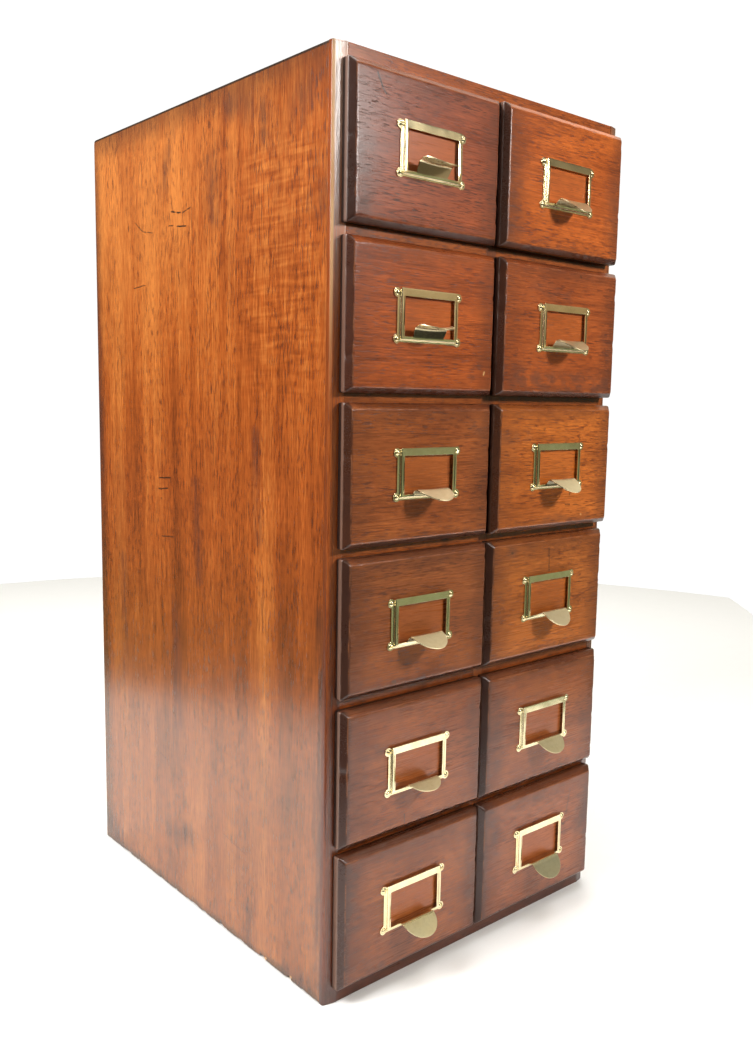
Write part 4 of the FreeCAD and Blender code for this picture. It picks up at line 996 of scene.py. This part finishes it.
def screw_template():
    """A round-headed slotted screw head, its axis along +Z."""
    profile = [(0.0, 1.62), (0.55, 1.58), (1.1, 1.42), (1.6, 1.16), (2.0, 0.82), (2.3, 0.42), (2.44, 0.12), (2.46, -0.1)]
    bm = bmesh.new()
    turns = 24
    rings = []
    for r, z in profile[1:]:
        rings.append([bm.verts.new((r * math.cos(2 * math.pi * i / turns), r * math.sin(2 * math.pi * i / turns), z))
                      for i in range(turns)])
    top = bm.verts.new((0, 0, profile[0][1]))
    for i in range(turns):
        bm.faces.new((top, rings[0][i], rings[0][(i + 1) % turns]))
        for a, b in zip(rings, rings[1:]):
            bm.faces.new((a[i], b[i], b[(i + 1) % turns], a[(i + 1) % turns]))
    bm.faces.new(rings[-1][::-1])
    bmesh.ops.recalc_face_normals(bm, faces=bm.faces)
    head = bpy.data.objects.new("head_template", to_mesh(bm, "head_template"))
    cutter_bm = bmesh.new()
    bmesh.ops.create_cube(cutter_bm, size=1.0, matrix=Matrix.Translation((0, 0, 1.7)) @ Matrix.Diagonal((0.72, 7.0, 1.9, 1.0)))
    cutter = bpy.data.objects.new("slot_template", to_mesh(cutter_bm, "slot_template"))
    for o in (head, cutter):
        scene.collection.objects.link(o)
    b = head.modifiers.new("slot", "BOOLEAN")
    b.operation, b.object, b.solver = "DIFFERENCE", cutter, "EXACT"
    bpy.context.view_layer.update()
    mesh = bpy.data.meshes.new_from_object(head.evaluated_get(bpy.context.evaluated_depsgraph_get()))
    for o in (head, cutter):
        old = o.data
        bpy.data.objects.remove(o)
        bpy.data.meshes.remove(old)
    return mesh


HEAD = screw_template()


def make_screws(column, row, cx, fy, cz):
    node = f"{column}_drawer_{row}_pull_screws"
    rnd = random.Random(700 + row * 10 + (column == "right"))
    bm = bmesh.new()
    for sx in (-1, 1):
        for sz in (-1, 1):
            turn = Matrix.Rotation(rnd.uniform(0, math.pi), 4, "Z")
            tilt = Matrix.Rotation(rnd.uniform(-0.07, 0.07), 4, "X") @ Matrix.Rotation(rnd.uniform(-0.07, 0.07), 4, "Y")
            face = Matrix.Rotation(math.pi / 2, 4, "X")
            place = Matrix.Translation((cx + sx * EAR_X * MM, fy - SHEET * MM, cz + sz * EAR_Z * MM))
            m = place @ face @ tilt @ turn @ Matrix.Diagonal((MM, MM, MM, 1.0))
            before = len(bm.verts)
            bm.from_mesh(HEAD)
            bm.verts.ensure_lookup_table()
            for v in bm.verts[before:]:
                v.co = m @ v.co
    o = piece(f"{column}-drawer-{row}-pull-screw-heads", to_mesh(bm, node + "_heads"), f"{column}_drawer_{row}", "brass", node)
    edge = o.modifiers.new("edges", "BEVEL")
    edge.width, edge.segments, edge.limit_method, edge.angle_limit = 0.00007, 2, "ANGLE", math.radians(40)
    edge.use_clamp_overlap = True
    even_normals(o)
    paint(o, BRASS[column, row])


for column in COLUMNS:
    for row in ROWS:
        make_screws(column, row, *make_pull(column, row))
bpy.data.meshes.remove(HEAD)


# ---------------------------------------------------------------- stage
def make_stage():
    bm = bmesh.new()
    turns = 360
    rim = []
    # a round sheet of paper, cut straight on three sides
    cuts = [(Vector((1, -1)).normalized(), 0.85), (Vector((-0.891, 0.454)), 0.725), (Vector((-0.65, -0.76)), 0.60)]
    for i in range(turns):
        a = 2 * math.pi * i / turns
        reach = 1.75
        for across, far in cuts:
            c = Vector((math.cos(a), math.sin(a))).dot(across)
            if c > 1e-6:
                reach = min(reach, far / c)
        rim.append(bm.verts.new((reach * math.cos(a), reach * math.sin(a), -0.0004)))
    bm.faces.new(rim)
    floor = bpy.data.objects.new("floor", to_mesh(bm, "floor"))
    scene.collection.objects.link(floor)
    t = Tree("floor_paper")
    grain = t.noise(t.coord, 40.0, 4.0, 0.6)
    t.put(t.bsdf.inputs["Base Color"], t.mix(grain, (0.92, 0.92, 0.92, 1.0), (0.95, 0.95, 0.95, 1.0)))
    t.bsdf.inputs["Roughness"].default_value = 0.9
    paint(floor, t.mat)

    world = bpy.data.worlds.new("studio")
    scene.world = world
    world.use_nodes = True
    nt = world.node_tree
    nt.nodes.clear()
    out = nt.nodes.new("ShaderNodeOutputWorld")
    both = nt.nodes.new("ShaderNodeMixShader")
    path = nt.nodes.new("ShaderNodeLightPath")
    seen = nt.nodes.new("ShaderNodeBackground")
    seen.inputs["Color"].default_value = (1, 1, 1, 1)
    seen.inputs["Strength"].default_value = 1.05
    room = nt.nodes.new("ShaderNodeBackground")
    coord = nt.nodes.new("ShaderNodeTexCoord")
    split = nt.nodes.new("ShaderNodeSeparateXYZ")
    ramp = nt.nodes.new("ShaderNodeValToRGB")
    level = nt.nodes.new("ShaderNodeMapRange")
    level.inputs[1].default_value, level.inputs[2].default_value = -1.0, 1.0
    nt.links.new(coord.outputs["Generated"], split.inputs[0])
    nt.links.new(split.outputs[2], level.inputs[0])
    nt.links.new(level.outputs[0], ramp.inputs[0])
    # the room by height: dim below the floor's edge, greenish low down, a pale wall higher up
    bands = [(-0.36, (0.05, 0.05, 0.04)), (-0.26, (0.28, 0.32, 0.20)), (-0.08, (0.30, 0.335, 0.22)),
             (-0.02, (0.20, 0.21, 0.135)), (0.087, (0.42, 0.29, 0.16)), (0.237, (0.74, 0.64, 0.45)),
             (0.50, (0.34, 0.33, 0.26)), (0.68, (0.42, 0.38, 0.28)), (0.78, (0.42, 0.40, 0.21)), (1.0, (0.40, 0.40, 0.40))]
    e = ramp.color_ramp.elements
    while len(e) < len(bands):
        e.new(0.5)
    for stop, (s, c) in zip(e, bands):
        stop.position, stop.color = (s + 1) / 2, c + (1.0,)
    # and dimmer in four places: where the camera stands, to the left of the cabinet's back, and twice to the right
    strength = None
    for way, start, full, left in (((-0.65, -0.75, 0.0), 0.46, 0.84, 0.22), ((-0.66, 0.75, 0.0), 0.62, 0.90, 0.30),
                                   ((0.72, -0.50, 0.48), 0.915, 0.975, 0.14), ((0.955, -0.297, 0.0), 0.955, 0.99, 0.18)):
        lobe = nt.nodes.new("ShaderNodeVectorMath")
        lobe.operation = "DOT_PRODUCT"
        lobe.inputs[1].default_value = Vector(way).normalized()
        dim = nt.nodes.new("ShaderNodeMapRange")
        dim.interpolation_type = "SMOOTHSTEP"
        for i, v in enumerate((start, full, 1.0, left)):
            dim.inputs[i + 1].default_value = v
        nt.links.new(coord.outputs["Generated"], lobe.inputs[0])
        nt.links.new(lobe.outputs["Value"], dim.inputs[0])
        if strength is None:
            strength = dim.outputs[0]
            continue
        product = nt.nodes.new("ShaderNodeMath")
        product.operation = "MULTIPLY"
        nt.links.new(strength, product.inputs[0])
        nt.links.new(dim.outputs[0], product.inputs[1])
        strength = product.outputs[0]
    # the room fills the shadows less than it shows in the brass
    less = nt.nodes.new("ShaderNodeMath")
    less.operation = "MULTIPLY_ADD"
    less.inputs[1].default_value, less.inputs[2].default_value = -0.34, 1.0
    nt.links.new(path.outputs["Is Diffuse Ray"], less.inputs[0])
    fill = nt.nodes.new("ShaderNodeMath")
    fill.operation = "MULTIPLY"
    nt.links.new(strength, fill.inputs[0])
    nt.links.new(less.outputs[0], fill.inputs[1])
    nt.links.new(fill.outputs[0], room.inputs["Strength"])
    nt.links.new(ramp.outputs[0], room.inputs["Color"])
    nt.links.new(path.outputs["Is Camera Ray"], both.inputs[0])
    nt.links.new(room.outputs[0], both.inputs[1])
    nt.links.new(seen.outputs[0], both.inputs[2])
    nt.links.new(both.outputs[0], out.inputs["Surface"])

    def lamp(name, place, aim, size, power, colour=(1, 1, 1), tall=None):
        data = bpy.data.lights.new(name, "AREA")
        data.shape, data.size, data.energy, data.color = "DISK" if tall is None else "RECTANGLE", size, power, colour
        if tall is not None:
            data.size_y = tall
        o = bpy.data.objects.new(name, data)
        o.location = place
        o.rotation_euler = (Vector(aim) - Vector(place)).to_track_quat("-Z", "Y").to_euler()
        o.visible_camera = False
        scene.collection.objects.link(o)
        return o

    # the key is two lamps in one place: one of them leaves no sheen; the narrow windows in front and far left only give sheen
    lamp("key", (0.38, -1.10, 0.97), (0, -0.2, 0.40), 0.19, 4.8, (1.0, 0.97, 0.94))
    lamp("key_matte", (0.38, -1.10, 0.97), (0, -0.2, 0.40), 0.19, 5.9, (1.0, 0.97, 0.94)).visible_glossy = False
    lamp("front_window", (0.05, -1.50, 1.17), (0, -0.2, 0.70), 0.12, 5.0, (1.0, 0.98, 0.96), 0.44).visible_diffuse = False
    lamp("far_window", (-1.33, -0.46, 1.02), (-0.17, -0.2, 0.70), 0.10, 2.6, (1.0, 0.98, 0.96), 0.50).visible_diffuse = False
    lamp("left_strip", (-1.43, 0.14, 1.06), (-0.17, -0.2, 0.7), 0.15, 4.0, (1.0, 0.98, 0.96), 0.40)
    lamp("left_window", (-1.5, 0.0, 1.75), (-0.15, 0.05, 0.5), 0.8, 41, (1.0, 0.98, 0.96))
    lamp("overhead", (0.1, 0.1, 2.9), (0, 0, 0), 2.2, 69)
    lamp("rear_fill", (1.45, 0.42, 1.60), (0.0, -0.1, 0.4), 1.3, 3.2, (1.0, 0.95, 0.86))
    scene.view_settings.view_transform = "Standard"
    scene.view_settings.look = "None"


make_stage()
